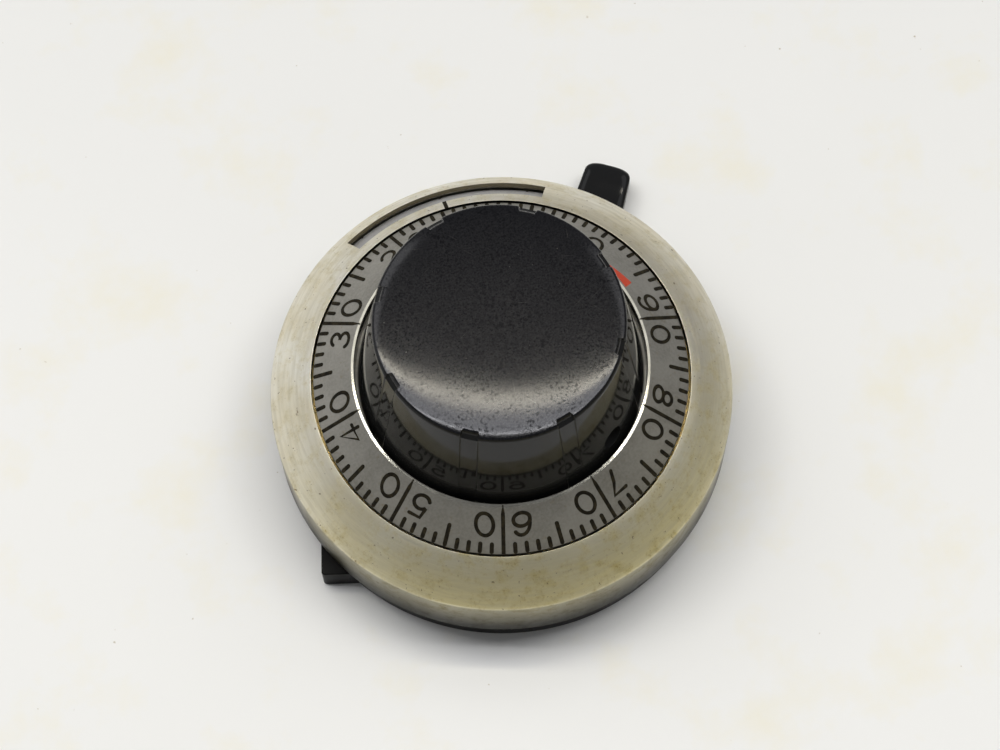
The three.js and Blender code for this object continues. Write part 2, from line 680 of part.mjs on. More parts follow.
function knobAssembly() {
  const group = new THREE.Group();
  group.add(knob(), hub(), mainDial(), hubClip(), thrustWasher(), planetStud(), planetClip());
  SET_SCREW_ANGLES.forEach((angle, index) => {
    group.add(setScrew(`set_screw_${index + 1}`, angle));
  });
  DIAL_SCREW_ANGLES.forEach((angle, index) => {
    const place = polar(DIAL_SCREW_ORBIT, angle);
    group.add(screw(`dial_screw_${index + 1}`, place, WEB_TOP - 0.02, WEB_BOTTOM - 1, angle));
  });
  return group;
}

// ---- planet and counter ----

function planetGear() {
  const split = (FIXED_GEAR_TOP + COUNTER_GEAR_BOTTOM) / 2;
  const body = joined([
    pinionStep(FIXED_MODULE, FIXED_GEAR_BOTTOM + 0.1, split),
    pinionStep(COUNTER_MODULE, split - 0.05, COUNTER_GEAR_TOP),
    pin(1.9, COUNTER_GEAR_TOP - 0.1, 12.9, [0, 0]),
  ]);
  const planet = mesh("planet_gear", body.subtract(pin(PINION_BORE, 0, 20)), brass());
  planet.position.set(...polar(PLANET_ORBIT, PLANET_ANGLE), 0);
  return planet;
}

function counterDial() {
  const inside = COUNTER_GEAR_OUTER + RUNNING_GAP;
  const wall = inside + 1.05;
  const top = (radius) => faceHeight(radius) - COUNTER_DIAL_DROP;
  const outline = [
    [inside, COUNTER_GEAR_BOTTOM],
    [wall, COUNTER_GEAR_BOTTOM],
    [wall, top(wall) - COUNTER_DIAL_THICKNESS],
    [COUNTER_DIAL_RADIUS, top(COUNTER_DIAL_RADIUS) - COUNTER_DIAL_THICKNESS],
    [COUNTER_DIAL_RADIUS, top(COUNTER_DIAL_RADIUS)],
    [inside, top(inside)],
  ];
  return mesh("counter_dial", turned(outline, FINE), greyAluminium());
}

function counter() {
  const group = new THREE.Group();
  const gear = internalGear(
    COUNTER_TEETH,
    COUNTER_MODULE,
    COUNTER_GEAR_OUTER,
    COUNTER_GEAR_BOTTOM,
    COUNTER_GEAR_TOP,
  );
  group.add(counterDial(), mesh("counter_ring_gear", gear, brass()));
  return group;
}

// ---- lock lever and brake ----

// The slot round the pivot that the shoe's peg rides in. Its distance from the pivot grows as the
// lever swings, so the peg is drawn towards the hub.
function spiralSlot() {
  const start = 180 - LEVER_REST_SWING;
  const endMargin = 15;
  const steps = 8;
  const distance = (turn) => PEG_DISTANCE + (BRAKE_TRAVEL * (turn - start)) / LEVER_TRAVEL;
  const edge = (side) =>
    Array.from({ length: steps + 1 }, (_, step) => {
      const turn = start - endMargin + ((LEVER_TRAVEL + 2 * endMargin) * step) / steps;
      return new THREE.Vector2(...polar(distance(turn) + side * SLOT_HALF_WIDTH, turn));
    });
  return raised(new THREE.Shape([...edge(1), ...edge(-1).reverse()]), 0, 5);
}

function lockLever() {
  const tip = LEVER_LENGTH;
  const half = LEVER_TIP_HALF_WIDTH;
  const arm = new THREE.Shape();
  arm.moveTo(0, -LEVER_ROOT_HALF_WIDTH);
  arm.lineTo(tip - LEVER_ROUND, -half);
  arm.absarc(tip - LEVER_ROUND, -half + LEVER_ROUND, LEVER_ROUND, -Math.PI / 2, 0, false);
  arm.absarc(tip - LEVER_ROUND, half - LEVER_ROUND, LEVER_ROUND, 0, Math.PI / 2, false);
  arm.lineTo(0, LEVER_ROOT_HALF_WIDTH);
  const head = pin(LEVER_HEAD_RADIUS, LEVER_BOTTOM, LEVER_TOP, [0, 0], 32);
  const body = cutFrom(joined([head, raised(arm, LEVER_BOTTOM, LEVER_TOP)]), [
    spiralSlot(),
    pin(STUD_RADIUS + RUNNING_GAP, 0, 5),
  ]);
  const lever = mesh("lock_lever", body, blackPhenolic());
  lever.position.set(...polar(LEVER_PIVOT_ORBIT, LEVER_PIVOT_ANGLE), 0);
  lever.rotation.z = rad(LEVER_PIVOT_ANGLE + LEVER_REST_SWING);
  return lever;
}

function brake() {
  const group = new THREE.Group();
  const padFace = DRUM_RADIUS + RUNNING_GAP + BRAKE_TRAVEL;
  const padBack = padFace + 0.65;
  const shoe = block(
    [padBack + RUNNING_GAP, -SHOE_HALF_WIDTH, PLATE_TOP + 0.1],
    [13.3, SHOE_HALF_WIDTH, SHOE_TOP],
  );
  const peg = pin(PEG_RADIUS, 1.4, PLATE_TOP + 0.3, [LEVER_PIVOT_ORBIT - PEG_DISTANCE, 0]);
  const pad = block([6, -SHOE_HALF_WIDTH, DRUM_BOTTOM - 0.1], [padBack, SHOE_HALF_WIDTH, SHOE_TOP]);
  const drumRoom = pin(padFace, 0, 10, [0, 0], FINE);
  group.add(mesh("brake_shoe", shoe.add(peg), brass()));
  group.add(mesh("brake_pad", pad.subtract(drumRoom), cork()));
  group.rotation.z = rad(LEVER_PIVOT_ANGLE);
  return group;
}

const dial = new THREE.Group();
dial.name = "turns_counting_dial";
dial.add(housing(), knobAssembly(), planetGear(), counter(), lockLever(), brake());

export default dial;
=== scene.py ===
"""Looks of the turns-counting dial: detailed shells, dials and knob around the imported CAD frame.

Lengths in this script are millimetres unless a name says metres; place() and the mesh makers turn
them into metres. Angles are degrees about +Z from +X, and +Y points to the middle of the window.
"""

import json
from math import atan, cos, degrees, exp, pi, radians, sin, sqrt

import bmesh
import bpy
from mathutils import Matrix, Quaternion, Vector

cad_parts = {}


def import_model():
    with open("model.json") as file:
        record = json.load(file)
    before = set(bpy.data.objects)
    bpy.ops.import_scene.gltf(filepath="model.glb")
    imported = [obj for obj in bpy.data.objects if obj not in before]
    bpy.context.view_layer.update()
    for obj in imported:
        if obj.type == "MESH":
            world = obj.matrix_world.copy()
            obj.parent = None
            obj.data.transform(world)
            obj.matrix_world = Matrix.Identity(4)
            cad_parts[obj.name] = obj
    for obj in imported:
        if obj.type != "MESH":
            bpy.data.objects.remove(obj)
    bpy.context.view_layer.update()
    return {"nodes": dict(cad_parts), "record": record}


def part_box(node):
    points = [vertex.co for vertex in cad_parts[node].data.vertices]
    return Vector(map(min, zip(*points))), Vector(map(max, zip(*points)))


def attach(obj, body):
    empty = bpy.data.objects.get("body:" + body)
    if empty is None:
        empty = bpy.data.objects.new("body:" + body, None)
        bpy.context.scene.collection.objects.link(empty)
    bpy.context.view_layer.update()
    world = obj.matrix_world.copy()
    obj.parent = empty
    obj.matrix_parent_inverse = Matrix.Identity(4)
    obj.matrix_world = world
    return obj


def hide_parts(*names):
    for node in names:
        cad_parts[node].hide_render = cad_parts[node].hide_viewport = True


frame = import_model()

MM = 0.001

# ---- driving dimensions ----

# Cover shell: side wall, crowned sloping face with the arc window, and the rim round the main dial.
CASE_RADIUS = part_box("cover_shell")[1].x / MM
CASE_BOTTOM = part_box("cover_shell")[0].z / MM
CASE_WALL = 1.2
SHOULDER_HEIGHT = 11.0
SHOULDER_ROUND = 0.45
CASE_FOOT_ROUND = 0.5
RIM_RADIUS = 18.7
RIM_HEIGHT = 14.65
RIM_ROUND = 0.03
FACE_CROWN = 0.3
FACE_THICKNESS = 0.85
WINDOW_INNER_RADIUS = 19.75
WINDOW_OUTER_RADIUS = 21.65
WINDOW_HALF_SPAN = 29.0
COVER_SCREW_ORBIT = 20.6
COVER_SCREW_ANGLES = (5, 125, 245)

# Main dial: conical scale of 100 divisions that reads READING at the index.
SCALE_OUTER_RADIUS = 18.45
SCALE_OUTER_HEIGHT = 14.6
SCALE_INNER_RADIUS = 14.58
SCALE_INNER_HEIGHT = 17.34
LIP_RADIUS = 14.25
LIP_HEIGHT = 17.41
LIP_BEVEL_REACH = 0.08
LIP_BEVEL_DROP = 0.1
LIP_SEAT_DEPTH = 0.4
LIP_OVERLAP = 0.05
LIP_PROUD = 0.005
WEB_TOP = 15.2
WEB_BOTTOM = 13.6
WEB_BEVEL_REACH = 0.5
WEB_BEVEL_RISE = 0.4
LIP_INNER_FOOT = WEB_TOP + 0.1
LIP_OUTER_FOOT = WEB_TOP + 0.6
DIAL_ROUND = 0.1
DIAL_EDGE_ROUND = 0.08
DIVISIONS = 100
READING = 14.48
INDEX_ANGLE = 90.0
TICK_WIDTH = 0.41
SHORT_TICK = 1.2
MEDIUM_TICK = 2.45
LONG_TICK_HALF_WIDTH = TICK_WIDTH * 0.47
LONG_TICK_TAPER = 0.7
LONG_TICK_POINT = 0.07
TICK_GAP = 0.02
LIP_TICK_INSET = 0.1
LIP_TICK_GAP = 0.03
LIP_TICK_POINT = 0.05
DIGIT_HEIGHT = 2.6
DIGIT_STROKE = 0.37
DIGIT_FOOT = 0.5
DIGIT_OFFSET = 1.78
POINTER_ANGLE = 25.6
POINTER_LENGTH = 4.6
POINTER_WIDTH = 1.1
POINTER_FOOT = 0.2
POINTER_TIP = 0.02
INDEX_LIFT = 0.02
INDEX_HALF_WIDTH = 0.2
INDEX_GAP = 0.03
PAINT_PROUD = 0.012
PAINT_DEPTH = 0.06
PAINT_CORNERS = ((1, PAINT_PROUD), (-1, PAINT_PROUD), (-1, -PAINT_DEPTH), (1, -PAINT_DEPTH))

# Counter dial under the window: it follows the cover's face, COUNTER_DROP below it.
COUNTER_DROP = 1.6
COUNTER_OUTER_RADIUS = 21.6
COUNTER_INNER_RADIUS = 19.1
COUNTER_THICKNESS = 0.85
COUNTER_WALL_RADIUS = 20.1
COUNTER_FOOT = 9.1
COUNTER_TURNS = 15
COUNTER_TICK_START = 20.45
COUNTER_TICK_WIDTH = 0.3
COUNTER_TICK_GAP = 0.15
COUNTER_DIGIT_HEIGHT = 1.5
COUNTER_DIGIT_STROKE = 0.26
COUNTER_DIGIT_FOOT = 0.55
COUNTER_DIGIT_OFFSET = -1.35
COUNTER_DIGIT_PITCH = 1.9

# Knob: its top falls by KNOB_CROWN from the middle, and by KNOB_CURL more at the very edge.
KNOB_BOTTOM = 15.4
KNOB_BASE_RADIUS = 14.08
KNOB_TOP_RADIUS = 11.9
KNOB_HEIGHT = 28.89
KNOB_EDGE = 0.42
KNOB_CROWN = 0.35
KNOB_CROWN_POWER = 3
KNOB_CURL = 0.06
KNOB_CURL_POWER = 20
KNOB_FOOT_RISE = 0.2
KNOB_FOOT_INSET = 0.15
KNOB_CAVITY_TOP = 25.5
KNOB_WALL = 2.0
KNOB_BOSS_RADIUS = 8.0
HUB_RADIUS = 5.05
HUB_TOP = 24.3

# Flutes in the knob's side, each with a deeper notch at the knob's top edge. A flute's wall is an S of
# (share of the depth, distance out from the wall's middle in units of FLUTE_EDGE).
FLUTE_COUNT = 8
FLUTE_ANGLE = 59.6
FLUTE_WIDTH = 1.7
FLUTE_EDGE = 0.1
FLUTE_WALL = ((0.93, -0.6), (0.75, -0.25), (0.5, 0), (0.25, 0.25), (0.07, 0.6), (0, 1))
FLUTE_NOTCH = 0.45
FLUTE_NOTCH_HEIGHT = 0.64
FLUTE_NOTCH_BLEND = 0.05
FLUTE_DEPTH = 0.11
FLUTE_FADE_HEIGHT = 4.5
FLUTE_DEPTH_LOW = 0.07
FLUTE_RUN_OUT = 0.88

# Set screw holes in the knob's side.
SET_SCREW_HEIGHT = 19.0
SET_SCREW_ANGLES = (305.8, 65.8)
SET_SCREW_HOLE = 1.25
SET_SCREW_HOLE_END = 6.5

# Lock lever: an arm with a rounded top that swells a little at its finger pad.
LEVER_PIVOT_ORBIT = 15.5
LEVER_PIVOT_ANGLE = 45.2
LEVER_REST_SWING = 11.5
LEVER_TRAVEL = 23.0
LEVER_BOTTOM = 1.1
LEVER_TOP = 3.2
LEVER_HEAD_RADIUS = 5.4
LEVER_ROOT = -LEVER_HEAD_RADIUS * 0.4
LEVER_LENGTH = 15.0
LEVER_ROOT_HALF_WIDTH = 3.4
LEVER_TIP_HALF_WIDTH = 2.4
LEVER_ROUND = 1.1
LEVER_DOME_DROP = 0.5
LEVER_DOME_REACH = 1.05
LEVER_PAD_PLACE = 13.4
LEVER_PAD_SPREAD = 1.5
LEVER_PAD_RISE = 0.13
LEVER_CLEARANCE = 0.35

# Base plate.
BASE_RADIUS = 22.4
BASE_FLOOR = 1.0
BASE_RIM_HEIGHT = 3.5
BASE_RIM_RADIUS = 19.4
BASE_BOSS_HEIGHT = 3.3
BASE_FOOT_ROUND = 0.3
BASE_RIM_ROUND = 0.2
NUT_RECESS_RADIUS = 8.2
NUT_RECESS_WALL = 1.4
NUT_RECESS_ROUND = 0.15
LUG_TURN = -15.2
LUG_CORNER_X = -18.6
LUG_CORNER_Y = -16.6
LUG_SIZE = 7.0
LUG_ROUND = 0.35
LUG_HEIGHT = 3.4
LUG_TOP_ROUND = 0.12
FRAME_SCREW_ORBIT = 17.7
FRAME_SCREW_ANGLES = (105.2, 225.2, 345.2)
LUG_INSERT_ORBIT = 21.6
LUG_INSERT_ANGLE = 206.5
LUG_INSERT_HOLE = 1.55
LUG_INSERT_TOP = 2.7
SCREW_RECESS_RADIUS = 1.4
SCREW_RECESS_TOP = 1.15
PIVOT_HOLE_RADIUS = 1.75
PIVOT_HOLE_TOP = 0.8

# Camera: a longish lens, a little over 0.25 m away, aimed at the dial's axis.
CAMERA_AZIMUTH = -15.2
CAMERA_ELEVATION = 69.39
CAMERA_DISTANCE = 259.3
CAMERA_ROLL = -1.87
CAMERA_LENS = 95.0
CAMERA_AIM = (-0.11, -0.06, 14.6)

# Lights, all LIGHT_DISTANCE metres from the dial: name, azimuth from the camera's, elevation, width
# and depth in metres, power in watts and colour.
LIGHT_DISTANCE = 0.9
LIGHTS = (
    ("panel", 176, 81.6, 1.2, 0.15, 2.3, (0.95, 0.96, 1.0)),
    ("tube_back", 176, 76.0, 1.2, 0.024, 2.3, (1.0, 0.94, 0.76)),
    ("tube_front", 176, 87.5, 1.2, 0.02, 1.8, (1, 1, 1)),
    ("left_window", 236, 50, 0.7, 0.4, 1.3, (1, 1, 1)),
    ("right_window", 124, 50, 0.6, 0.4, 0.9, (1, 1, 1)),
)

# Surroundings: the horizon on each side, and the ceiling.
LEFT_COLOUR = (1.0, 0.99, 0.94, 1)
RIGHT_COLOUR = (0.13, 0.13, 0.135, 1)
FRONT_COLOUR = (0.42, 0.37, 0.15, 1)
CEILING_COLOUR = (0.14, 0.145, 0.165, 1)

FINE = 288  # facets round the large rings
SMALL = 48  # facets round screw holes and the lever's head
WINDOW_STEPS = 60
CROWN_ROWS = 44
EDGE_ROWS = 7
SIDE_ROWS = 16
FLUTE_GAP_LINES = 28  # spaces between the mesh lines from one flute to the next
LEVER_RINGS = 60
LEVER_FACETS = 24
EDGE_STEPS = 12
ROUND_STEP = 12  # degrees per facet of a rounded corner
SHARP_ANGLE = 32  # edges that turn by more degrees than this are shaded sharp
LIP_SHARP_ANGLE = 12
CUT_SPARE = 1  # how far a cutting tool reaches past what it cuts


# ---- points and outlines ----

def polar(radius, angle):
    """A point in plan, in millimetres."""
    return radius * cos(radians(angle)), radius * sin(radians(angle))


def place(radius, angle, height):
    """A point at a radius, angle and height, in metres."""
    x, y = polar(radius, angle)
    return Vector((x, y, height)) * MM


def between(start, end, steps):
    """Evenly spaced values from start to end, both included."""
    return [start + (end - start) * step / steps for step in range(steps + 1)]


def rounded(corners):
    """An outline whose corners are (x, y) or (x, y, round radius), with each round as an arc."""
    points = []
    count = len(corners)
    for index, corner in enumerate(corners):
        here = Vector(corner[:2])
        if len(corner) == 2:
            points.append(here)
            continue
        before = (Vector(corners[index - 1][:2]) - here).normalized()
        after = (Vector(corners[(index + 1) % count][:2]) - here).normalized()
        half = before.angle(after) / 2
        reach = corner[2] * cos(half) / sin(half)
        centre = here + (before + after).normalized() * (corner[2] / sin(half))
        start = here + before * reach - centre
        turn = start.angle_signed(here + after * reach - centre)
        steps = max(3, int(abs(degrees(turn)) / ROUND_STEP))
        for step in range(steps + 1):
            arm = start.copy()
            arm.rotate(Matrix.Rotation(-turn * step / steps, 2))
            points.append(centre + arm)
    return points


def face_height(radius):
    """Height of the cover's crowned face at a radius."""
    across = (radius - RIM_RADIUS) / (CASE_RADIUS - RIM_RADIUS)
    crown = 4 * FACE_CROWN * across * (1 - across)
    return RIM_HEIGHT + across * (SHOULDER_HEIGHT - RIM_HEIGHT) + crown


def counter_height(radius):
    """Height of the counter dial's top at a radius."""
    return face_height(radius) - COUNTER_DROP


# ---- mesh makers ----

def new_object(name, vertices, faces, body):
    """A mesh object from points in metres, shaded smooth except at sharp edges."""
    mesh = bpy.data.meshes.new(name)
    mesh.from_pydata([tuple(v) for v in vertices], [], faces)
    mesh.validate()
    made = bpy.data.objects.new(name, mesh)
    bpy.context.scene.collection.objects.link(made)
    outward(made)
    shade(made)
    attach(made, body)
    return made


def outward(made):
    """Turns all faces of a closed mesh outwards."""
    work = bmesh.new()
    work.from_mesh(made.data)
    bmesh.ops.recalc_face_normals(work, faces=work.faces)
    work.to_mesh(made.data)
    work.free()


def shade(made, angle=SHARP_ANGLE):
    """Shades a mesh smooth, except across edges that turn by more than an angle."""
    made.data.polygons.foreach_set("use_smooth", [True] * len(made.data.polygons))
    made.data.set_sharp_from_angle(angle=radians(angle))


def sleeve(count, rings):
    """The faces between neighbouring rings of points, with count points in each ring."""
    faces = []
    for low in range(0, (rings - 1) * count, count):
        for index in range(count):
            after = (index + 1) % count
            faces.append((low + index, low + after, low + count + after, low + count + index))
    return faces


def turned(name, outline, body):
    """A closed ring turned about +Z from a closed outline of (radius, height) points."""
    vertices = [
        place(radius, 360 * step / FINE, height)
        for step in range(FINE)
        for radius, height in outline
    ]
    total = len(vertices)
    faces = [[corner % total for corner in face] for face in sleeve(len(outline), FINE + 1)]
    return new_object(name, vertices, faces, body)


def loft(name, rings, body):
    """A closed mesh through rings of equally many points, with its two ends filled."""
    count = len(rings[0])
    vertices = [point for ring in rings for point in ring]
    ends = [tuple(range(count)), tuple(range(len(vertices) - count, len(vertices)))]
    return new_object(name, vertices, ends + sleeve(count, len(rings)), body)


def inset(outline, distance):
    """An outline moved inwards, each point along the bisector of its two sides."""
    count = len(outline)
    area = sum(outline[index - 1].cross(outline[index]) for index in range(count))
    inward = 1 if area > 0 else -1
    moved = []
    for index, here in enumerate(outline):
        before = (here - outline[index - 1]).normalized()
        after = (outline[(index + 1) % count] - here).normalized()
        bisector = (Vector((-before.y, before.x)) + Vector((-after.y, after.x))).normalized()
        stretch = max(0.5, bisector.dot(Vector((-before.y, before.x))))
        moved.append(here + bisector * (inward * distance / stretch))
    return moved


def prism(name, outline, bottom, top, body, angle=0, at=(0, 0), edge=0):
    """A flat outline, turned and moved in plan and raised between two heights. Edge rounds its top."""
    turn = Matrix.Rotation(radians(angle), 2)
    flat = [turn @ Vector(point) + Vector(at) for point in outline]
    levels = [(0, bottom)]
    for rise in between(0, pi / 2, EDGE_STEPS) if edge else [0]:
        levels.append((edge * (1 - cos(rise)), top - edge * (1 - sin(rise))))
    rings = [
        [Vector((point.x, point.y, height)) * MM for point in inset(flat, distance)]
        for distance, height in levels
    ]
    return loft(name, rings, body)


def cylinder(name, radius, bottom, top, body, at=(0, 0), facets=SMALL):
    outline = [polar(radius, 360 * step / facets) for step in range(facets)]
    return prism(name, outline, bottom, top, body, at=at)


def boolean(target, tools, operation="DIFFERENCE"):
    """Cuts the tools from the target, or joins them to it, and removes them."""
    for tool in tools:
        cut = target.modifiers.new("cut", "BOOLEAN")
        cut.operation = operation
        cut.solver = "EXACT"
        cut.object = tool
        bpy.context.view_layer.objects.active = target
        bpy.ops.object.modifier_apply(modifier=cut.name)
        bpy.data.objects.remove(tool)
    shade(target)


def finished(piece, material, slot, *nodes):
    """Gives a piece its material and hides the CAD nodes that it stands for."""
    piece.data.materials.clear()
    piece.data.materials.append(material)
    if nodes:
        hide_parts(*nodes)


# ---- material helpers ----

def supply(tree, socket, value):
    """Gives an input a value, or links it to another node's output."""
    if isinstance(value, bpy.types.NodeSocket):
        tree.links.new(value, socket)
    else:
        socket.default_value = value


def node(tree, kind, inputs=None, **settings):
    """A shader node with its settings and inputs: an input is a value or another node's output."""
    made = tree.nodes.new("ShaderNode" + kind)
    for key, value in settings.items():
        setattr(made, key, value)
    for key, value in (inputs or {}).items():
        supply(tree, made.inputs[key], value)
    return made


def new_material(name):
    """A material with only a Principled shader: (tree, shader, material)."""
    material = bpy.data.materials.new(name)
    material.use_nodes = True
    tree = material.node_tree
    tree.nodes.clear()
    shader = node(tree, "BsdfPrincipled")
    output = node(tree, "OutputMaterial")
    tree.links.new(shader.outputs["BSDF"], output.inputs["Surface"])
    return tree, shader, material


def object_point(tree):
    return node(tree, "TexCoord").outputs["Object"]


def spun_point(tree, arcs, rings):
    """Coordinates that run round the axis slowly and across it fast, as a lathe's marks do."""
    split = node(tree, "SeparateXYZ", {0: object_point(tree)})
    flat = node(tree, "CombineXYZ", {"X": split.outputs["X"], "Y": split.outputs["Y"]})
    length = node(tree, "VectorMath", {0: flat.outputs[0]}, operation="LENGTH")
    unit = node(tree, "VectorMath", {0: flat.outputs[0]}, operation="NORMALIZE")
    around = node(tree, "VectorMath", {0: unit.outputs[0], "Scale": arcs}, operation="SCALE")
    lift = node(tree, "CombineXYZ", {"Z": multiplied(tree, length.outputs["Value"], rings)})
    both = {0: around.outputs[0], 1: lift.outputs[0]}
    return node(tree, "VectorMath", both, operation="ADD").outputs[0]


def noise(tree, vector, scale, detail=3.0, roughness=0.55):
    inputs = {"Vector": vector, "Scale": scale, "Detail": detail, "Roughness": roughness}
    return node(tree, "TexNoise", inputs).outputs[0]


def spread(tree, value, low, high, to_low=0.0, to_high=1.0):
    """Maps a value from one range to another and keeps it there."""
    inputs = {"Value": value, 1: low, 2: high, 3: to_low, 4: to_high}
    return node(tree, "MapRange", inputs, clamp=True).outputs[0]


def mixed(tree, factor, first, second):
    """A colour between two colours."""
    return node(tree, "Mix", {0: factor, 6: first, 7: second}, data_type="RGBA").outputs[2]


def combined(tree, operation, values):
    """Joins two or more values, each a number or a node's output, with one kind of Math node."""
    total = values[0]
    for value in values[1:]:
        total = node(tree, "Math", {0: total, 1: value}, operation=operation).outputs[0]
    return total


def multiplied(tree, *values):
    return combined(tree, "MULTIPLY", values)


def added(tree, *values):
    return combined(tree, "ADD", values)


def bump(tree, shader, height, strength, distance):
    inputs = {"Height": height, "Strength": strength, "Distance": distance}
    tree.links.new(node(tree, "Bump", inputs).outputs[0], shader.inputs["Normal"])


def feed(tree, shader, **values):
    """Sets the shader's inputs, named with underscores, to values or node outputs."""
    for key, value in values.items():
        supply(tree, shader.inputs[key.replace("_", " ")], value)


# ---- materials ----

SPECK_BROWN = (0.42, 0.31, 0.1, 1)
PIT_BROWN = (0.16, 0.09, 0.03, 1)
PAINTED_SIDE_SHADE = (0.03, 0.027, 0.014, 1)
SIDE_SHADE_UNDER_SHOULDER = 0.5  # share of the side's brown that is left just under the shoulder


def satin_nickel():
    """Warm satin metal with turning marks, yellow tarnish, brown specks and pits, and painted shade on
    its side wall.
    """
    tree, shader, material = new_material("satin_nickel")
    point = object_point(tree)
    split = node(tree, "SeparateXYZ", {0: point})
    height = split.outputs["Z"]
    rings = noise(tree, spun_point(tree, 5, 3200), 1.0, 4)
    clouds = noise(tree, point, 130, 4)
    blotches = spread(tree, noise(tree, point, 650, 6, 0.7), 0.48, 0.7)
    pits = spread(tree, noise(tree, point, 2400, 2), 0.69, 0.74)
    specks = spread(tree, noise(tree, point, 4600, 3), 0.54, 0.62)
    tint = mixed(tree, spread(tree, clouds, 0.35, 0.65), (0.82, 0.76, 0.6, 1), (0.92, 0.9, 0.82, 1))
    # Towards the front, on the camera's side, the colour is made yellower and the stains stronger.
    front = spread(tree, split.outputs["Y"], 0.002, -0.02)
    yellowed = mixed(tree, multiplied(tree, front, 0.65), tint, (0.82, 0.75, 0.47, 1))
    stain = multiplied(tree, blotches, spread(tree, front, 0, 1, 0.4, 0.85))
    tarnished = mixed(tree, stain, yellowed, (0.6, 0.51, 0.22, 1))
    speckled = mixed(tree, multiplied(tree, specks, stain, 0.9), tarnished, SPECK_BROWN)
    brushed = mixed(tree, spread(tree, rings, 0.4, 0.62, 0, 0.32), speckled, (0.55, 0.51, 0.38, 1))
    pitted = mixed(tree, multiplied(tree, pits, 0.75), brushed, PIT_BROWN)
    # Painted shade: the side wall under the shoulder darkens to brown towards its foot.
    side = spread(tree, height, (SHOULDER_HEIGHT - 0.2) * MM, (SHOULDER_HEIGHT + 0.1) * MM, 1, 0)
    low = spread(tree, height, (CASE_BOTTOM + 1.5) * MM, SHOULDER_HEIGHT * MM, 1, SIDE_SHADE_UNDER_SHOULDER)
    side_shaded = mixed(tree, multiplied(tree, side, low), pitted, PAINTED_SIDE_SHADE)
    rough = added(tree, spread(tree, rings, 0.3, 0.7, 0.34, 0.48), multiplied(tree, blotches, 0.1))
    feed(tree, shader, Base_Color=side_shaded, Metallic=0.9, Roughness=rough)
    bump(tree, shader, rings, 0.5, 0.00002)
    return material


def dial_metal(name, dark, light, metallic):
    """Grey satin metal of the dials, with turning marks, a fine grain and brown stains."""
    tree, shader, material = new_material(name)
    point = object_point(tree)
    rings = noise(tree, spun_point(tree, 5, 7000), 1.0, 2)
    clouds = noise(tree, point, 200, 4)
    grain = noise(tree, point, 3800, 2)
    tint = mixed(tree, spread(tree, clouds, 0.35, 0.65), (*dark, 1), (*light, 1))
    stains = spread(tree, noise(tree, point, 1500, 4, 0.7), 0.6, 0.75, 0, 0.6)
    stained = mixed(tree, stains, tint, (0.2, 0.15, 0.07, 1))
    bright = tuple(1.25 * share for share in light)
    grained = mixed(tree, spread(tree, grain, 0.35, 0.65, 0, 0.35), stained, (*bright, 1))
    feed(tree, shader, Base_Color=grained, Metallic=metallic)
    feed(tree, shader, Roughness=spread(tree, rings, 0.3, 0.7, 0.36, 0.5))
    bump(tree, shader, rings, 0.4, 0.00002)
    return material


def polished():
    """The worn bright lip of the scale, dark brown down in the groove: partly dirt, partly painted
    shade.
    """
    tree, shader, material = new_material("polished_lip")
    point = object_point(tree)
    height = node(tree, "SeparateXYZ", {0: point}).outputs["Z"]
    rings = noise(tree, spun_point(tree, 8, 6000), 1.0, 2)
    wear = noise(tree, point, 900, 4)
    bright = mixed(tree, wear, (0.3, 0.285, 0.23, 1), (0.6, 0.58, 0.5, 1))
    # Dirt and painted shade: the lip darkens to brown-black down in the groove by the knob.
    groove_dirt_and_shade = spread(tree, height, (LIP_HEIGHT - 0.3) * MM, (LIP_HEIGHT - 0.12) * MM)
    feed(tree, shader, Base_Color=mixed(tree, groove_dirt_and_shade, (0.05, 0.04, 0.012, 1), bright), Metallic=0.85)
    feed(tree, shader, Roughness=spread(tree, rings, 0.3, 0.7, 0.1, 0.2))
    return material


def streaks(tree, vector, turn, scale, low, high):
    """Fine straight scratches that run in one direction."""
    inputs = {"Vector": vector, "Angle": radians(turn)}
    aligned = node(tree, "VectorRotate", inputs, rotation_type="Z_AXIS")
    stretched = node(tree, "Mapping", {"Vector": aligned.outputs[0], "Scale": (1, 40, 1)})
    return spread(tree, noise(tree, stretched.outputs[0], scale, 1), low, high)


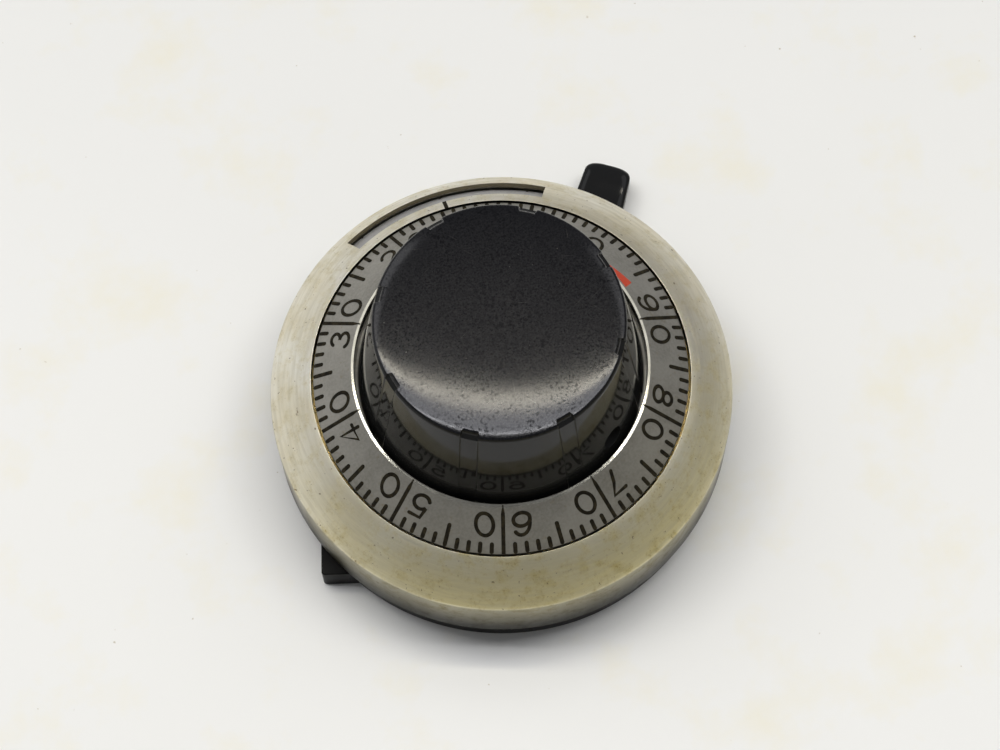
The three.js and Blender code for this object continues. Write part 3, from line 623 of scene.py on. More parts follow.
def black_phenolic():
    """Glossy black moulding: a hazy top with scratches and pits of dirt, and a smoother side."""
    tree, shader, material = new_material("black_phenolic")
    point = object_point(tree)
    height = node(tree, "SeparateXYZ", {0: point}).outputs["Z"]
    top = spread(tree, height, (KNOB_HEIGHT - 0.3) * MM, (KNOB_HEIGHT - 0.05) * MM)
    speckle = noise(tree, point, 5200, 3, 0.7)
    smears = noise(tree, point, 300, 5, 0.6)
    dust = spread(tree, noise(tree, point, 4300, 1), 0.8, 0.83)
    pits = spread(tree, noise(tree, point, 3600, 3), 0.55, 0.61)
    scratches = [streaks(tree, point, turn, 230, 0.72, 0.78) for turn in (12, 49, 97, 151)]
    patches = spread(tree, noise(tree, point, 500, 2), 0.45, 0.6)
    scratched = multiplied(tree, added(tree, *scratches), top, patches)
    black = mixed(tree, top, (0.013, 0.0132, 0.0135, 1), (0.005, 0.005, 0.006, 1))
    worn = mixed(tree, multiplied(tree, scratched, 0.12), black, (0.2, 0.19, 0.17, 1))
    dusty = mixed(tree, multiplied(tree, dust, 0.35), worn, (0.3, 0.29, 0.25, 1))
    gloss = spread(tree, smears, 0.3, 0.7, 0.05, 0.09)
    wear = added(tree, gloss, multiplied(tree, top, 0.04))
    dirt = multiplied(tree, pits, top, spread(tree, smears, 0.4, 0.6, 0.25, 1))
    clean = spread(tree, dirt, 0, 1, 1, 0.25)
    shine = multiplied(tree, spread(tree, top, 0, 1, 0.22, 0.5), clean)
    haze = multiplied(tree, top, clean, spread(tree, speckle, 0.35, 0.65, 0.1, 0.45))
    feed(tree, shader, Base_Color=dusty, Roughness=wear, IOR=1.4, Specular_IOR_Level=shine)
    feed(tree, shader, Coat_Weight=haze, Coat_Roughness=0.32, Coat_IOR=1.4)
    feed(tree, shader, Specular_Tint=(0.96, 0.96, 1.0, 1))
    bumps = added(tree, multiplied(tree, speckle, top), multiplied(tree, speckle, 0.06))
    bump(tree, shader, bumps, 0.11, 0.00002)
    return material


def black_moulding():
    tree, shader, material = new_material("black_moulding")
    point = object_point(tree)
    smears = noise(tree, point, 350, 4)
    colour = mixed(tree, smears, (0.003, 0.003, 0.003, 1), (0.008, 0.0075, 0.007, 1))
    feed(tree, shader, Base_Color=colour, Roughness=spread(tree, smears, 0.3, 0.7, 0.25, 0.4))
    feed(tree, shader, Specular_IOR_Level=0.05)
    bump(tree, shader, noise(tree, point, 4000, 2), 0.15, 0.00001)
    return material


def engraving_black():
    tree, shader, material = new_material("engraving_black")
    wear = noise(tree, object_point(tree), 2200, 3)
    worn = spread(tree, wear, 0.4, 0.7)
    colour = mixed(tree, worn, (0.008, 0.0065, 0.004, 1), (0.03, 0.024, 0.012, 1))
    feed(tree, shader, Base_Color=colour, Roughness=0.7, Specular_IOR_Level=0.12)
    return material


def pointer_red():
    tree, shader, material = new_material("pointer_red")
    wear = noise(tree, object_point(tree), 1800, 3)
    colour = mixed(tree, wear, (0.42, 0.035, 0.012, 1), (0.58, 0.065, 0.025, 1))
    feed(tree, shader, Base_Color=colour, Roughness=0.55)
    return material


def turned_metal(name, dark, light, roughness):
    """Bright turned metal for the inner parts and screws."""
    tree, shader, material = new_material(name)
    clouds = noise(tree, object_point(tree), 500, 4)
    grain = noise(tree, object_point(tree), 5000, 2)
    feed(tree, shader, Base_Color=mixed(tree, clouds, (*dark, 1), (*light, 1)), Metallic=1.0)
    feed(tree, shader, Roughness=spread(tree, grain, 0.3, 0.7, roughness - 0.06, roughness + 0.08))
    bump(tree, shader, grain, 0.15, 0.00001)
    return material


def plain_matt(name, dark, light, roughness):
    """Matt plastic or fibre with a little mottling."""
    tree, shader, material = new_material(name)
    clouds = noise(tree, object_point(tree), 1500, 5)
    feed(tree, shader, Base_Color=mixed(tree, clouds, (*dark, 1), (*light, 1)), Roughness=roughness)
    bump(tree, shader, clouds, 0.3, 0.00003)
    return material


NICKEL = satin_nickel()
GREY = dial_metal("dial_grey", (0.22, 0.213, 0.19), (0.315, 0.305, 0.28), 0.6)
PALE_GREY = dial_metal("counter_grey", (0.4, 0.4, 0.415), (0.5, 0.5, 0.515), 0.3)
WINDOW_BROWN = plain_matt("window_edge", (0.13, 0.1, 0.045), (0.26, 0.22, 0.11), 0.5)
POLISHED = polished()
PHENOLIC = black_phenolic()
MOULDING = black_moulding()
BLACK_PAINT = engraving_black()
RED_PAINT = pointer_red()
BRASS = turned_metal("brass", (0.55, 0.40, 0.16), (0.66, 0.50, 0.22), 0.3)
STEEL = turned_metal("steel", (0.42, 0.42, 0.42), (0.55, 0.55, 0.56), 0.3)
NYLON = plain_matt("nylon", (0.62, 0.58, 0.48), (0.72, 0.69, 0.6), 0.5)
PAD = plain_matt("friction_pad", (0.1, 0.06, 0.035), (0.19, 0.115, 0.065), 0.85)
SLOT_MATERIALS = {
    "satin_nickel": NICKEL,
    "grey_dial": GREY,
    "black_gloss": PHENOLIC,
    "black_moulding": MOULDING,
    "brass": BRASS,
    "steel": STEEL,
    "nylon": NYLON,
    "friction_pad": PAD,
}


def dress_cad_nodes():
    """Gives every CAD node the material of its slot in the record."""
    for entry in frame["record"]["subparts"]:
        target = frame["nodes"][entry["node"]]
        target.data.materials.clear()
        target.data.materials.append(SLOT_MATERIALS[entry["material_slot"]])


# ---- cover shell ----

def window_tool():
    """The prism that cuts the arc window."""
    span = between(INDEX_ANGLE - WINDOW_HALF_SPAN, INDEX_ANGLE + WINDOW_HALF_SPAN, WINDOW_STEPS)
    outer = [polar(WINDOW_OUTER_RADIUS, angle) for angle in span]
    inner = [polar(WINDOW_INNER_RADIUS, angle) for angle in reversed(span)]
    bottom = SHOULDER_HEIGHT - 2 * CUT_SPARE
    return prism("window_tool", outer + inner, bottom, RIM_HEIGHT + CUT_SPARE, "housing")


def cover_shell():
    """The turned case with its arc window."""
    inside = CASE_RADIUS - CASE_WALL
    crown = between(CASE_RADIUS, RIM_RADIUS, 8)[1:-1]
    under = [inside, (inside + RIM_RADIUS) / 2]
    outline = rounded([
        (inside, CASE_BOTTOM),
        (CASE_RADIUS, CASE_BOTTOM, CASE_FOOT_ROUND),
        (CASE_RADIUS, face_height(CASE_RADIUS), SHOULDER_ROUND),
        *[(radius, face_height(radius)) for radius in crown],
        (RIM_RADIUS, RIM_HEIGHT, RIM_ROUND),
        (RIM_RADIUS, RIM_HEIGHT - FACE_THICKNESS),
        *[(radius, face_height(radius) - FACE_THICKNESS) for radius in reversed(under)],
    ])
    shell = turned("cover_shell_smooth", outline, "housing")
    boolean(shell, [window_tool()])
    finished(shell, NICKEL, "satin_nickel", "cover_shell")
    shell.data.materials.append(WINDOW_BROWN)
    shell.data.materials.append(MOULDING)
    # The window's upright walls are brown, and the rim's inner wall is painted black as the shade in
    # the gap round the dial.
    for face in shell.data.polygons:
        radius = face.center.xy.length / MM
        if abs(face.normal.z) < 0.1 and radius < WINDOW_OUTER_RADIUS + 0.1:
            face.material_index = 1 if radius > WINDOW_INNER_RADIUS - 0.1 else 2


# ---- marks on the dials ----

class Cone:
    """A conical surface: across is the distance from its inner edge along the slope."""

    def __init__(self, inner, outer):
        self.inner = Vector(inner)
        self.slope = (Vector(outer) - self.inner).normalized()
        self.length = (Vector(outer) - self.inner).length
        self.normal = Vector((-self.slope.y, self.slope.x))

    def point(self, angle, sideways, across, lift):
        """A point near an angle: sideways is clockwise seen from above, lift is off the surface."""
        radius, height = self.inner + self.slope * across
        turn = degrees(sideways / radius)
        spot = Vector((radius, height)) + self.normal * lift
        return place(spot.x, angle - turn, spot.y)


def with_round_ends(path, width):
    """A stroke's (point, half width) steps, with short tapering steps that make its ends round."""
    half = width / 2
    first = (Vector(path[0]) - Vector(path[1])).normalized()
    last = (Vector(path[-1]) - Vector(path[-2])).normalized()
    caps = [(half * sin(radians(turn)), half * cos(radians(turn))) for turn in (30, 60, 85)]
    start = [(Vector(path[0]) + first * reach, narrow) for reach, narrow in reversed(caps)]
    end = [(Vector(path[-1]) + last * reach, narrow) for reach, narrow in caps]
    return start + [(Vector(point), half) for point in path] + end


class Marks:
    """Collects painted strokes into one mesh."""

    def __init__(self):
        self.vertices = []
        self.faces = []

    def band(self, cone, angle, steps):
        """A stroke through (point, half width) steps, each point being (sideways, across)."""
        start = len(self.vertices)
        for index, (here, half) in enumerate(steps):
            before = Vector(steps[max(index - 1, 0)][0])
            after = Vector(steps[min(index + 1, len(steps) - 1)][0])
            along = (after - before).normalized()
            side = Vector((-along.y, along.x)) * half
            for way, lift in PAINT_CORNERS:
                spot = Vector(here) + side * way
                self.vertices.append(cone.point(angle, spot.x, spot.y, lift))
        self.faces += [[start + corner for corner in face] for face in sleeve(4, len(steps))]
        end = len(self.vertices) - 4
        self.faces.append((start, start + 1, start + 2, start + 3))
        self.faces.append((end + 3, end + 2, end + 1, end))

    def stroke(self, cone, angle, path, width):
        self.band(cone, angle, with_round_ends(path, width))

    def digit(self, cone, figure, angle, sideways, foot, height, stroke):
        """Draws a figure with its foot towards the dial's axis."""
        share = height - stroke
        for path in GLYPHS[figure]:
            drawn = [(sideways + x * share, foot + stroke / 2 + y * share) for x, y in path]
            self.stroke(cone, angle, drawn, stroke)

    def object(self, name, body):
        return new_object(name, self.vertices, self.faces, body)


def arc(centre, radii, start, end, steps=18):
    """Points of an ellipse's arc, from one angle to another in degrees."""
    return [
        (centre[0] + radii[0] * cos(radians(turn)), centre[1] + radii[1] * sin(radians(turn)))
        for turn in between(start, end, steps)
    ]


def oval(centre, radii):
    return arc(centre, radii, 90, 450, 36)


# Engraver's figures in a box one unit high, each a list of strokes drawn along their middle.
GLYPHS = {
    "0": [oval((0, 0.5), (0.38, 0.5))],
    "1": [[(-0.2, 0.8), (0.03, 1), (0.03, 0)]],
    "2": [arc((0, 0.7), (0.33, 0.3), 165, -35) + [(-0.36, 0), (0.36, 0)]],
    "3": [arc((0, 0.76), (0.28, 0.24), 160, -90) + arc((0, 0.26), (0.34, 0.26), 90, -160)],
    "4": [[(0.14, 0), (0.14, 1), (-0.38, 0.26), (0.36, 0.26)]],
    "5": [[(0.28, 1), (-0.24, 1), (-0.29, 0.52)] + arc((0, 0.32), (0.35, 0.32), 140, -155)],
    "6": [arc((0, 0.52), (0.36, 0.48), 42, 180, 12) + arc((0, 0.3), (0.36, 0.3), 180, 540, 30)],
    "7": [[(-0.33, 1), (0.33, 1), (0.06, 0.5), (-0.08, 0)]],
    "8": [oval((0, 0.76), (0.27, 0.24)), oval((0, 0.26), (0.35, 0.26))],
    "9": [arc((0, 0.48), (0.36, 0.48), 222, 360, 12) + arc((0, 0.7), (0.36, 0.3), 0, 360, 30)],
}


SCALE = Cone((SCALE_INNER_RADIUS, SCALE_INNER_HEIGHT), (SCALE_OUTER_RADIUS, SCALE_OUTER_HEIGHT))


def scale_marks():
    """The 100 divisions and the tens figures, each pair of figures astride its full-width line."""
    lip = Cone((LIP_RADIUS + LIP_TICK_INSET, LIP_HEIGHT), (SCALE_INNER_RADIUS, LIP_HEIGHT))
    marks = Marks()
    zero = INDEX_ANGLE - READING * 360 / DIVISIONS
    outer = SCALE.length - TICK_WIDTH / 2
    long_tick = [
        ((0, TICK_GAP), LONG_TICK_POINT),
        ((0, LONG_TICK_TAPER), LONG_TICK_HALF_WIDTH),
        ((0, SCALE.length - TICK_GAP), LONG_TICK_HALF_WIDTH),
    ]
    size = (DIGIT_FOOT, DIGIT_HEIGHT, DIGIT_STROKE)
    lip_tick = [((0, LIP_TICK_GAP), LIP_TICK_POINT), ((0, lip.length), LONG_TICK_POINT)]
    for division in range(DIVISIONS):
        angle = zero + division * 360 / DIVISIONS
        if division % 10 == 0 and division > 0:
            marks.band(SCALE, angle, long_tick)
            marks.band(lip, angle, lip_tick)
            tens, units = str(division)
            marks.digit(SCALE, tens, angle, -DIGIT_OFFSET, *size)
            marks.digit(SCALE, units, angle, DIGIT_OFFSET, *size)
        else:
            length = MEDIUM_TICK if division % 5 == 0 and division > 0 else SHORT_TICK
            marks.stroke(SCALE, angle, [(0, outer - length + TICK_WIDTH), (0, outer)], TICK_WIDTH)
    marks.digit(SCALE, "0", zero, 0, *size)
    finished(marks.object("scale_marks", "knob_and_dial"), BLACK_PAINT, "grey_dial")


def counter_marks():
    """One line and one number for each turn. Numbers rise counter-clockwise, 0 at the index."""
    inner = (COUNTER_INNER_RADIUS, counter_height(COUNTER_INNER_RADIUS))
    outer = (COUNTER_OUTER_RADIUS, counter_height(COUNTER_OUTER_RADIUS))
    cone = Cone(inner, outer)
    marks = Marks()
    start = (COUNTER_TICK_START - COUNTER_INNER_RADIUS) / cone.slope.x
    tick = [(0, start), (0, cone.length - COUNTER_TICK_GAP)]
    size = (COUNTER_DIGIT_FOOT, COUNTER_DIGIT_HEIGHT, COUNTER_DIGIT_STROKE)
    for turn in range(COUNTER_TURNS):
        angle = INDEX_ANGLE + turn * 360 / COUNTER_TURNS
        marks.stroke(cone, angle, tick, COUNTER_TICK_WIDTH)
        figures = str(turn)
        for index, figure in enumerate(figures):
            paired = (index - 0.5) * COUNTER_DIGIT_PITCH
            sideways = COUNTER_DIGIT_OFFSET if len(figures) == 1 else paired
            marks.digit(cone, figure, angle, sideways, *size)
    finished(marks.object("turns_marks", "turns_dial"), BLACK_PAINT, "grey_dial")


def index_line():
    """The black line from the rim to the window's inner edge."""
    inner = (RIM_RADIUS, face_height(RIM_RADIUS) + INDEX_LIFT)
    outer = (WINDOW_INNER_RADIUS, face_height(WINDOW_INNER_RADIUS) + INDEX_LIFT)
    cone = Cone(inner, outer)
    marks = Marks()
    ends = (INDEX_GAP, cone.length - INDEX_GAP)
    marks.band(cone, INDEX_ANGLE, [((0, across), INDEX_HALF_WIDTH) for across in ends])
    finished(marks.object("index_line", "housing"), BLACK_PAINT, "satin_nickel")


def red_pointer():
    """A small red wedge painted on the scale's inner edge, pointed at its counter-clockwise end."""
    marks = Marks()
    steps = []
    for share in between(0, 1, 10):
        sideways = POINTER_LENGTH * (0.5 - share)
        half = POINTER_WIDTH / 2 * (1 - share)
        steps.append(((sideways, POINTER_FOOT + half), half + POINTER_TIP))
    marks.band(SCALE, POINTER_ANGLE, steps)
    finished(marks.object("red_pointer", "knob_and_dial"), RED_PAINT, "grey_dial")


# ---- dials ----

def main_dial():
    """The disc under the knob, with the conical scale at its edge."""
    outline = rounded([
        (HUB_RADIUS, WEB_BOTTOM),
        (SCALE_OUTER_RADIUS - WEB_BEVEL_REACH, WEB_BOTTOM, DIAL_ROUND),
        (SCALE_OUTER_RADIUS, WEB_BOTTOM + WEB_BEVEL_RISE, DIAL_ROUND),
        (SCALE_OUTER_RADIUS, SCALE_OUTER_HEIGHT, DIAL_EDGE_ROUND),
        (SCALE_INNER_RADIUS, SCALE_INNER_HEIGHT),
        (SCALE_INNER_RADIUS, SCALE_INNER_HEIGHT - LIP_SEAT_DEPTH),
        (LIP_RADIUS + LIP_OVERLAP, WEB_TOP),
        (HUB_RADIUS, WEB_TOP),
    ])
    dial = turned("main_dial_smooth", outline, "knob_and_dial")
    finished(dial, GREY, "grey_dial", "main_dial")


def dial_lip():
    """The polished bead at the scale's inner edge."""
    outline = rounded([
        (LIP_RADIUS, LIP_INNER_FOOT),
        (SCALE_INNER_RADIUS, LIP_OUTER_FOOT),
        (SCALE_INNER_RADIUS, SCALE_INNER_HEIGHT + LIP_PROUD),
        (LIP_RADIUS + LIP_BEVEL_REACH, LIP_HEIGHT),
        (LIP_RADIUS, LIP_HEIGHT - LIP_BEVEL_DROP),
    ])
    lip = turned("dial_lip", outline, "knob_and_dial")
    shade(lip, LIP_SHARP_ANGLE)
    finished(lip, POLISHED, "grey_dial")


def counter_dial():
    """A thin sloping ring on a wall that reaches down to the gear."""
    under = (COUNTER_WALL_RADIUS, COUNTER_OUTER_RADIUS)
    top = between(COUNTER_OUTER_RADIUS, COUNTER_INNER_RADIUS, 4)
    outline = [
        (COUNTER_INNER_RADIUS, COUNTER_FOOT),
        (COUNTER_WALL_RADIUS, COUNTER_FOOT),
        *[(radius, counter_height(radius) - COUNTER_THICKNESS) for radius in under],
        *[(radius, counter_height(radius)) for radius in top],
    ]
    dial = turned("counter_dial_smooth", outline, "turns_dial")
    finished(dial, PALE_GREY, "grey_dial", "counter_dial")


# ---- knob ----

def knob_radius(height):
    along = (height - KNOB_BOTTOM) / (KNOB_HEIGHT - KNOB_BOTTOM)
    return KNOB_BASE_RADIUS + along * (KNOB_TOP_RADIUS - KNOB_BASE_RADIUS)


def flute_depth(height):
    """Depth of a flute at a height: a notch at the knob's top edge, and shallower lower down."""
    below = KNOB_HEIGHT - height
    steps = (
        (KNOB_EDGE, FLUTE_NOTCH),
        (FLUTE_NOTCH_HEIGHT, FLUTE_DEPTH),
        (FLUTE_FADE_HEIGHT, FLUTE_DEPTH_LOW),
        (KNOB_HEIGHT - KNOB_BOTTOM, FLUTE_DEPTH_LOW),
    )
    for (above, deep), (under, shallow) in zip(steps, steps[1:]):
        if below <= under:
            share = max(0, (below - above) / (under - above))
            return deep + share * (shallow - deep)
    return FLUTE_DEPTH_LOW


def flute_lines(radius):
    """(angle, share of the flute's depth) of the mesh lines round the knob at a radius.

    The flutes keep their width, so the lines across them draw together where the knob is wider.
    """
    pitch = 360 / FLUTE_COUNT
    half = FLUTE_WIDTH / 2
    lines = [((half - FLUTE_EDGE) * step / 3, 1) for step in range(-3, 4)]
    for share, offset in FLUTE_WALL:
        reach = half + offset * FLUTE_EDGE
        lines += [(-reach, share), (reach, share)]
    near = sorted((degrees(offset / radius), share) for offset, share in lines)
    last = near[-1][0]
    plain = [(offset, 0) for offset in between(last, pitch - last, FLUTE_GAP_LINES)[1:-1]]
    return [
        (FLUTE_ANGLE + pitch * flute + offset, share)
        for flute in range(FLUTE_COUNT)
        for offset, share in near + plain
    ]


def crown_height(radius, edge_radius):
    """Height of the knob's top: flat in the middle, then falling, and curled down at its edge."""
    share = radius / edge_radius
    crown = KNOB_CROWN * (1 - share ** KNOB_CROWN_POWER)
    return KNOB_HEIGHT + crown + KNOB_CURL * (1 - share ** KNOB_CURL_POWER)


def knob_rows():
    """Rows of the knob's outside, from its middle to its foot: (radius, height, share of the flute)."""
    slant = atan((KNOB_BASE_RADIUS - KNOB_TOP_RADIUS) / (KNOB_HEIGHT - KNOB_BOTTOM))
    arc_height = KNOB_HEIGHT - KNOB_EDGE
    arc_radius = knob_radius(arc_height) - KNOB_EDGE / cos(slant)
    start = atan((KNOB_CROWN_POWER * KNOB_CROWN + KNOB_CURL_POWER * KNOB_CURL) / KNOB_TOP_RADIUS)
    edge_radius = arc_radius + KNOB_EDGE * sin(start)
    rows = []
    for turn in between(0, pi / 2, CROWN_ROWS)[1:]:
        share = sin(turn)
        radius = share * edge_radius
        flute = max(0, (share - FLUTE_RUN_OUT) / (1 - FLUTE_RUN_OUT))
        rows.append((radius, crown_height(radius, edge_radius), flute))
    for turn in between(start, pi / 2 - slant, EDGE_ROWS)[1:]:
        rows.append((arc_radius + KNOB_EDGE * sin(turn), arc_height + KNOB_EDGE * cos(turn), 1))
    notch_foot = KNOB_HEIGHT - FLUTE_NOTCH_HEIGHT
    heights = [notch_foot + FLUTE_NOTCH_BLEND, notch_foot, notch_foot - FLUTE_NOTCH_BLEND]
    heights += between(notch_foot, KNOB_BOTTOM + KNOB_FOOT_RISE, SIDE_ROWS)[1:]
    rows += [(knob_radius(height), height, 1) for height in heights]
    rows.append((KNOB_BASE_RADIUS - KNOB_FOOT_INSET, KNOB_BOTTOM, 1))
    return rows, edge_radius


def knob_inside():
    """(radius, height) of the knob's underside, from its foot to the bore's end."""
    return [
        (knob_radius(KNOB_BOTTOM) - KNOB_WALL, KNOB_BOTTOM),
        (knob_radius(KNOB_CAVITY_TOP) - KNOB_WALL, KNOB_CAVITY_TOP),
        (KNOB_BOSS_RADIUS, KNOB_CAVITY_TOP),
        (KNOB_BOSS_RADIUS, KNOB_BOTTOM),
        (HUB_RADIUS, KNOB_BOTTOM),
        (HUB_RADIUS, HUB_TOP),
    ]


def knob_row(radius, height, flute, edge_radius):
    """One ring of the knob's outside, which keeps to the crown where a flute draws it in."""
    points = []
    for angle, share in flute_lines(max(radius, KNOB_TOP_RADIUS)):
        drawn = radius - share * flute * flute_depth(height)
        lift = 0
        if share and height > KNOB_HEIGHT - KNOB_EDGE:
            crown = crown_height(min(drawn, edge_radius), edge_radius)
            rise = crown - crown_height(min(radius, edge_radius), edge_radius)
            lift = rise * min(1, (height - KNOB_HEIGHT + KNOB_EDGE) / KNOB_EDGE)
        points.append(place(drawn, angle, height + lift))
    return points


def knob():
    """The knob, made of rings from the middle of its top to its foot and back up inside it."""
    outside, edge_radius = knob_rows()
    rows = [knob_row(*row, edge_radius) for row in outside]
    for radius, height in knob_inside():
        rows.append([place(radius, angle, height) for angle, _ in flute_lines(KNOB_TOP_RADIUS)])
    count = len(rows[0])
    vertices = [point for row in rows for point in row]
    top = len(vertices)
    vertices.append(place(0, 0, crown_height(0, edge_radius)))
    vertices.append(place(0, 0, HUB_TOP))
    faces = sleeve(count, len(rows))
    last = (len(rows) - 1) * count
    for index in range(count):
        after = (index + 1) % count
        faces.append((top, index, after))
        faces.append((top + 1, last + after, last + index))
    made = new_object("knob_smooth", vertices, faces, "knob_and_dial")
    tools = []
    for angle in SET_SCREW_ANGLES:
        end = KNOB_BASE_RADIUS + CUT_SPARE
        tool = cylinder("hole_tool", SET_SCREW_HOLE, SET_SCREW_HOLE_END, end, "knob_and_dial")
        turn = Quaternion((0, 0, 1), radians(angle)) @ Quaternion((0, 1, 0), radians(90))
        for vertex in tool.data.vertices:
            vertex.co = turn @ vertex.co + Vector((0, 0, SET_SCREW_HEIGHT * MM))
        tools.append(tool)
    boolean(made, tools)
    finished(made, PHENOLIC, "black_gloss", "knob")


# ---- lever and base ----

def lever_section(along):
    """(sideways, height) points round the arm at a distance along it."""
    taper = (along - LEVER_ROOT) / (LEVER_LENGTH - LEVER_ROOT)
    half = LEVER_ROOT_HALF_WIDTH + taper * (LEVER_TIP_HALF_WIDTH - LEVER_ROOT_HALF_WIDTH)
    swell = exp(-((along - LEVER_PAD_PLACE) / LEVER_PAD_SPREAD) ** 2)
    top = LEVER_TOP - LEVER_PAD_RISE * (1 - swell)
    beyond = max(0, 1 - (LEVER_LENGTH - along) / LEVER_ROUND)
    fall = 1 - sqrt(max(0, 1 - beyond ** 2))
    half -= LEVER_ROUND * fall
    top -= LEVER_DOME_DROP * fall
    section = [(half, LEVER_BOTTOM)]
    for turn in between(0, pi, LEVER_FACETS):
        sideways = half * cos(turn)
        near_edge = max(0, 1 - (half - abs(sideways)) / LEVER_DOME_REACH)
        section.append((sideways, top - LEVER_DOME_DROP * (1 - sqrt(max(0, 1 - near_edge ** 2)))))
    section.append((-half, LEVER_BOTTOM))
    return section


def lock_lever():
    """The lever: an arm that swells at its finger pad, and the head that it turns on."""
    pivot = Vector(polar(LEVER_PIVOT_ORBIT, LEVER_PIVOT_ANGLE))
    turn = Matrix.Rotation(radians(LEVER_PIVOT_ANGLE + LEVER_REST_SWING), 2)
    rings = []
    for rise in between(0, pi / 2, LEVER_RINGS):
        along = LEVER_ROOT + (LEVER_LENGTH - LEVER_ROOT) * sin(rise)
        ring = []
        for sideways, height in lever_section(along):
            spot = turn @ Vector((along, sideways)) + pivot
            ring.append(Vector((spot.x, spot.y, height)) * MM)
        rings.append(ring)
    arm = loft("lever_arm", rings, "lever")
    head_top = LEVER_TOP - LEVER_PAD_RISE - LEVER_DOME_DROP / 2
    head = cylinder("lever_head", LEVER_HEAD_RADIUS, LEVER_BOTTOM, head_top, "lever", at=pivot)
    boolean(arm, [head], "UNION")
    finished(arm, PHENOLIC, "black_gloss", "lock_lever")


def base_plate():
    """The moulded base: a rimmed plate with its lug, the holes at the rear and room for the lever."""
    wall = NUT_RECESS_RADIUS + NUT_RECESS_WALL
    outline = rounded([
        (NUT_RECESS_RADIUS, 0, NUT_RECESS_ROUND),
        (BASE_RADIUS, 0, BASE_FOOT_ROUND),
        (BASE_RADIUS, BASE_RIM_HEIGHT, BASE_RIM_ROUND),
        (BASE_RIM_RADIUS, BASE_RIM_HEIGHT),
        (BASE_RIM_RADIUS, BASE_FLOOR),
        (wall, BASE_FLOOR),
        (wall, BASE_BOSS_HEIGHT),
        (NUT_RECESS_RADIUS, BASE_BOSS_HEIGHT),
    ])
    base = turned("base_plate_smooth", outline, "housing")
    lug_outline = rounded([
        (LUG_CORNER_X, LUG_CORNER_Y + LUG_SIZE),
        (LUG_CORNER_X, LUG_CORNER_Y, LUG_ROUND),
        (LUG_CORNER_X + LUG_SIZE, LUG_CORNER_Y),
    ])
    lug = prism("lug", lug_outline, 0, LUG_HEIGHT, "housing", angle=LUG_TURN, edge=LUG_TOP_ROUND)
    room_top = BASE_RIM_HEIGHT + CUT_SPARE
    room = cylinder("room", BASE_RIM_RADIUS, BASE_FLOOR, room_top, "housing", facets=FINE)
    boolean(lug, [room])
    boolean(base, [lug], "UNION")
    boolean(base, base_holes() + lever_room())
    finished(base, MOULDING, "black_moulding", "base_plate")


def base_holes():
    """The holes for the screws' heads, the lug's insert and the lever's pivot pin."""
    screws = [(FRAME_SCREW_ORBIT, angle) for angle in FRAME_SCREW_ANGLES]
    screws += [(COVER_SCREW_ORBIT, angle) for angle in COVER_SCREW_ANGLES]
    holes = [(*spot, SCREW_RECESS_RADIUS, SCREW_RECESS_TOP) for spot in screws]
    holes.append((LUG_INSERT_ORBIT, LUG_INSERT_ANGLE, LUG_INSERT_HOLE, LUG_INSERT_TOP))
    holes.append((LEVER_PIVOT_ORBIT, LEVER_PIVOT_ANGLE, PIVOT_HOLE_RADIUS, PIVOT_HOLE_TOP))
    return [
        cylinder("hole", radius, -CUT_SPARE, top, "housing", at=polar(orbit, angle))
        for orbit, angle, radius, top in holes
    ]


def lever_room():
    """The gap that the lever swings in."""
    pivot = polar(LEVER_PIVOT_ORBIT, LEVER_PIVOT_ANGLE)
    half = LEVER_ROOT_HALF_WIDTH + LEVER_CLEARANCE
    top = BASE_RIM_HEIGHT + CUT_SPARE
    box = [(0, -half), (LEVER_LENGTH, -half), (LEVER_LENGTH, half), (0, half)]
    tools = []
    for swing in (LEVER_REST_SWING, 0, LEVER_REST_SWING - LEVER_TRAVEL):
        angle = LEVER_PIVOT_ANGLE + swing
        tools.append(prism("room", box, BASE_FLOOR, top, "housing", angle=angle, at=pivot))
    return tools


# ---- stage, light and camera ----

def floor():
    """A pale table top with faint stains and specks, darker far to the right and far in front."""
    tree, shader, material = new_material("pale_floor")
    point = object_point(tree)
    clouds = mixed(tree, noise(tree, point, 14, 4), (0.82, 0.82, 0.805, 1), (0.87, 0.87, 0.86, 1))
    stains = spread(tree, noise(tree, point, 70, 5, 0.6), 0.52, 0.7, 0, 0.45)
    stained = mixed(tree, stains, clouds, (0.84, 0.79, 0.6, 1))
    specks = spread(tree, noise(tree, point, 900, 2), 0.755, 0.8, 0, 0.6)
    specked = mixed(tree, specks, stained, (0.3, 0.22, 0.08, 1))
    split = node(tree, "SeparateXYZ", {0: point})
    right = mixed(tree, spread(tree, split.outputs["X"], 0.1, 0.2), specked, RIGHT_COLOUR)
    front = mixed(tree, spread(tree, split.outputs["Y"], -0.1, -0.2), right, FRONT_COLOUR)
    feed(tree, shader, Base_Color=front, Roughness=0.4)
    bpy.ops.mesh.primitive_plane_add(size=4, location=(0, 0, 0))
    plane = bpy.context.object
    plane.name = "floor"
    plane.data.materials.append(material)


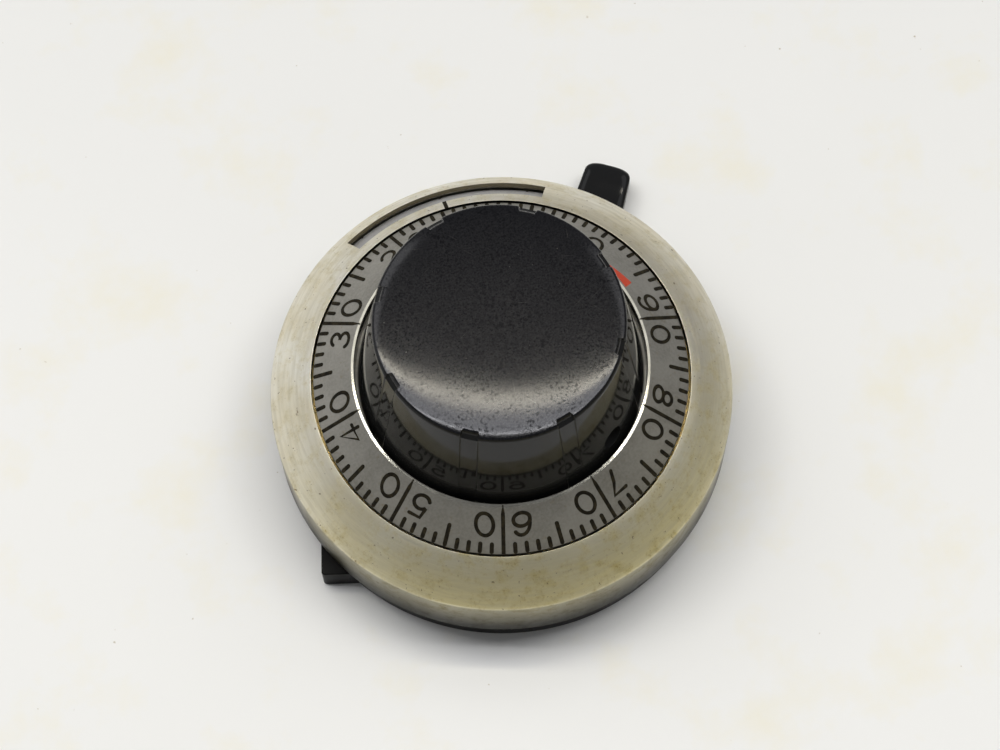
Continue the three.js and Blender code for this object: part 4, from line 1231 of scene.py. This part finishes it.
def seen_from(azimuth, elevation):
    """Unit vector from the dial towards a viewer."""
    level = cos(radians(elevation))
    turn = radians(azimuth)
    return Vector((sin(turn) * level, -cos(turn) * level, sin(radians(elevation))))


def aimed(data, location, back, roll=0):
    """Puts a camera or a light at a place, looking the opposite way to back."""
    made = bpy.data.objects.new(data.name, data)
    bpy.context.scene.collection.objects.link(made)
    made.location = location
    made.rotation_mode = "QUATERNION"
    look = (-back).to_track_quat("-Z", "Y")
    made.rotation_quaternion = look @ Quaternion((0, 0, 1), radians(roll))
    return made


def camera():
    data = bpy.data.cameras.new("camera")
    data.lens = CAMERA_LENS
    data.sensor_width = 36
    back = seen_from(CAMERA_AZIMUTH, CAMERA_ELEVATION)
    location = (Vector(CAMERA_AIM) + back * CAMERA_DISTANCE) * MM
    bpy.context.scene.camera = aimed(data, location, back, CAMERA_ROLL)


def area_light(name, turn, elevation, width, groove_dirt_and_shade, power, colour):
    """A soft light aimed at the dial, with its width across the line of sight."""
    data = bpy.data.lights.new(name, "AREA")
    data.shape = "RECTANGLE"
    data.size = width
    data.size_y = groove_dirt_and_shade
    data.energy = power
    data.color = colour
    back = seen_from(CAMERA_AZIMUTH + turn, elevation)
    aimed(data, back * LIGHT_DISTANCE, back)


def world():
    """Dim surroundings, lighter towards the horizon and to the left, and warmer in front."""
    made = bpy.data.worlds.new("room")
    bpy.context.scene.world = made
    made.use_nodes = True
    tree = made.node_tree
    direction = node(tree, "TexCoord").outputs["Generated"]
    split = node(tree, "SeparateXYZ", {0: direction})
    sides = mixed(tree, spread(tree, split.outputs["X"], -0.9, 0.9), LEFT_COLOUR, RIGHT_COLOUR)
    around = mixed(tree, spread(tree, split.outputs["Y"], 0.1, -0.5), sides, FRONT_COLOUR)
    rise = spread(tree, split.outputs["Z"], 0.0, 0.5)
    light = mixed(tree, rise, around, CEILING_COLOUR)
    tree.links.new(light, tree.nodes["Background"].inputs["Color"])


dress_cad_nodes()
cover_shell()
main_dial()
dial_lip()
counter_dial()
scale_marks()
counter_marks()
index_line()
red_pointer()
knob()
lock_lever()
base_plate()
floor()
world()
camera()
for light in LIGHTS:
    area_light(*light)
bpy.context.scene.view_settings.view_transform = "Standard"
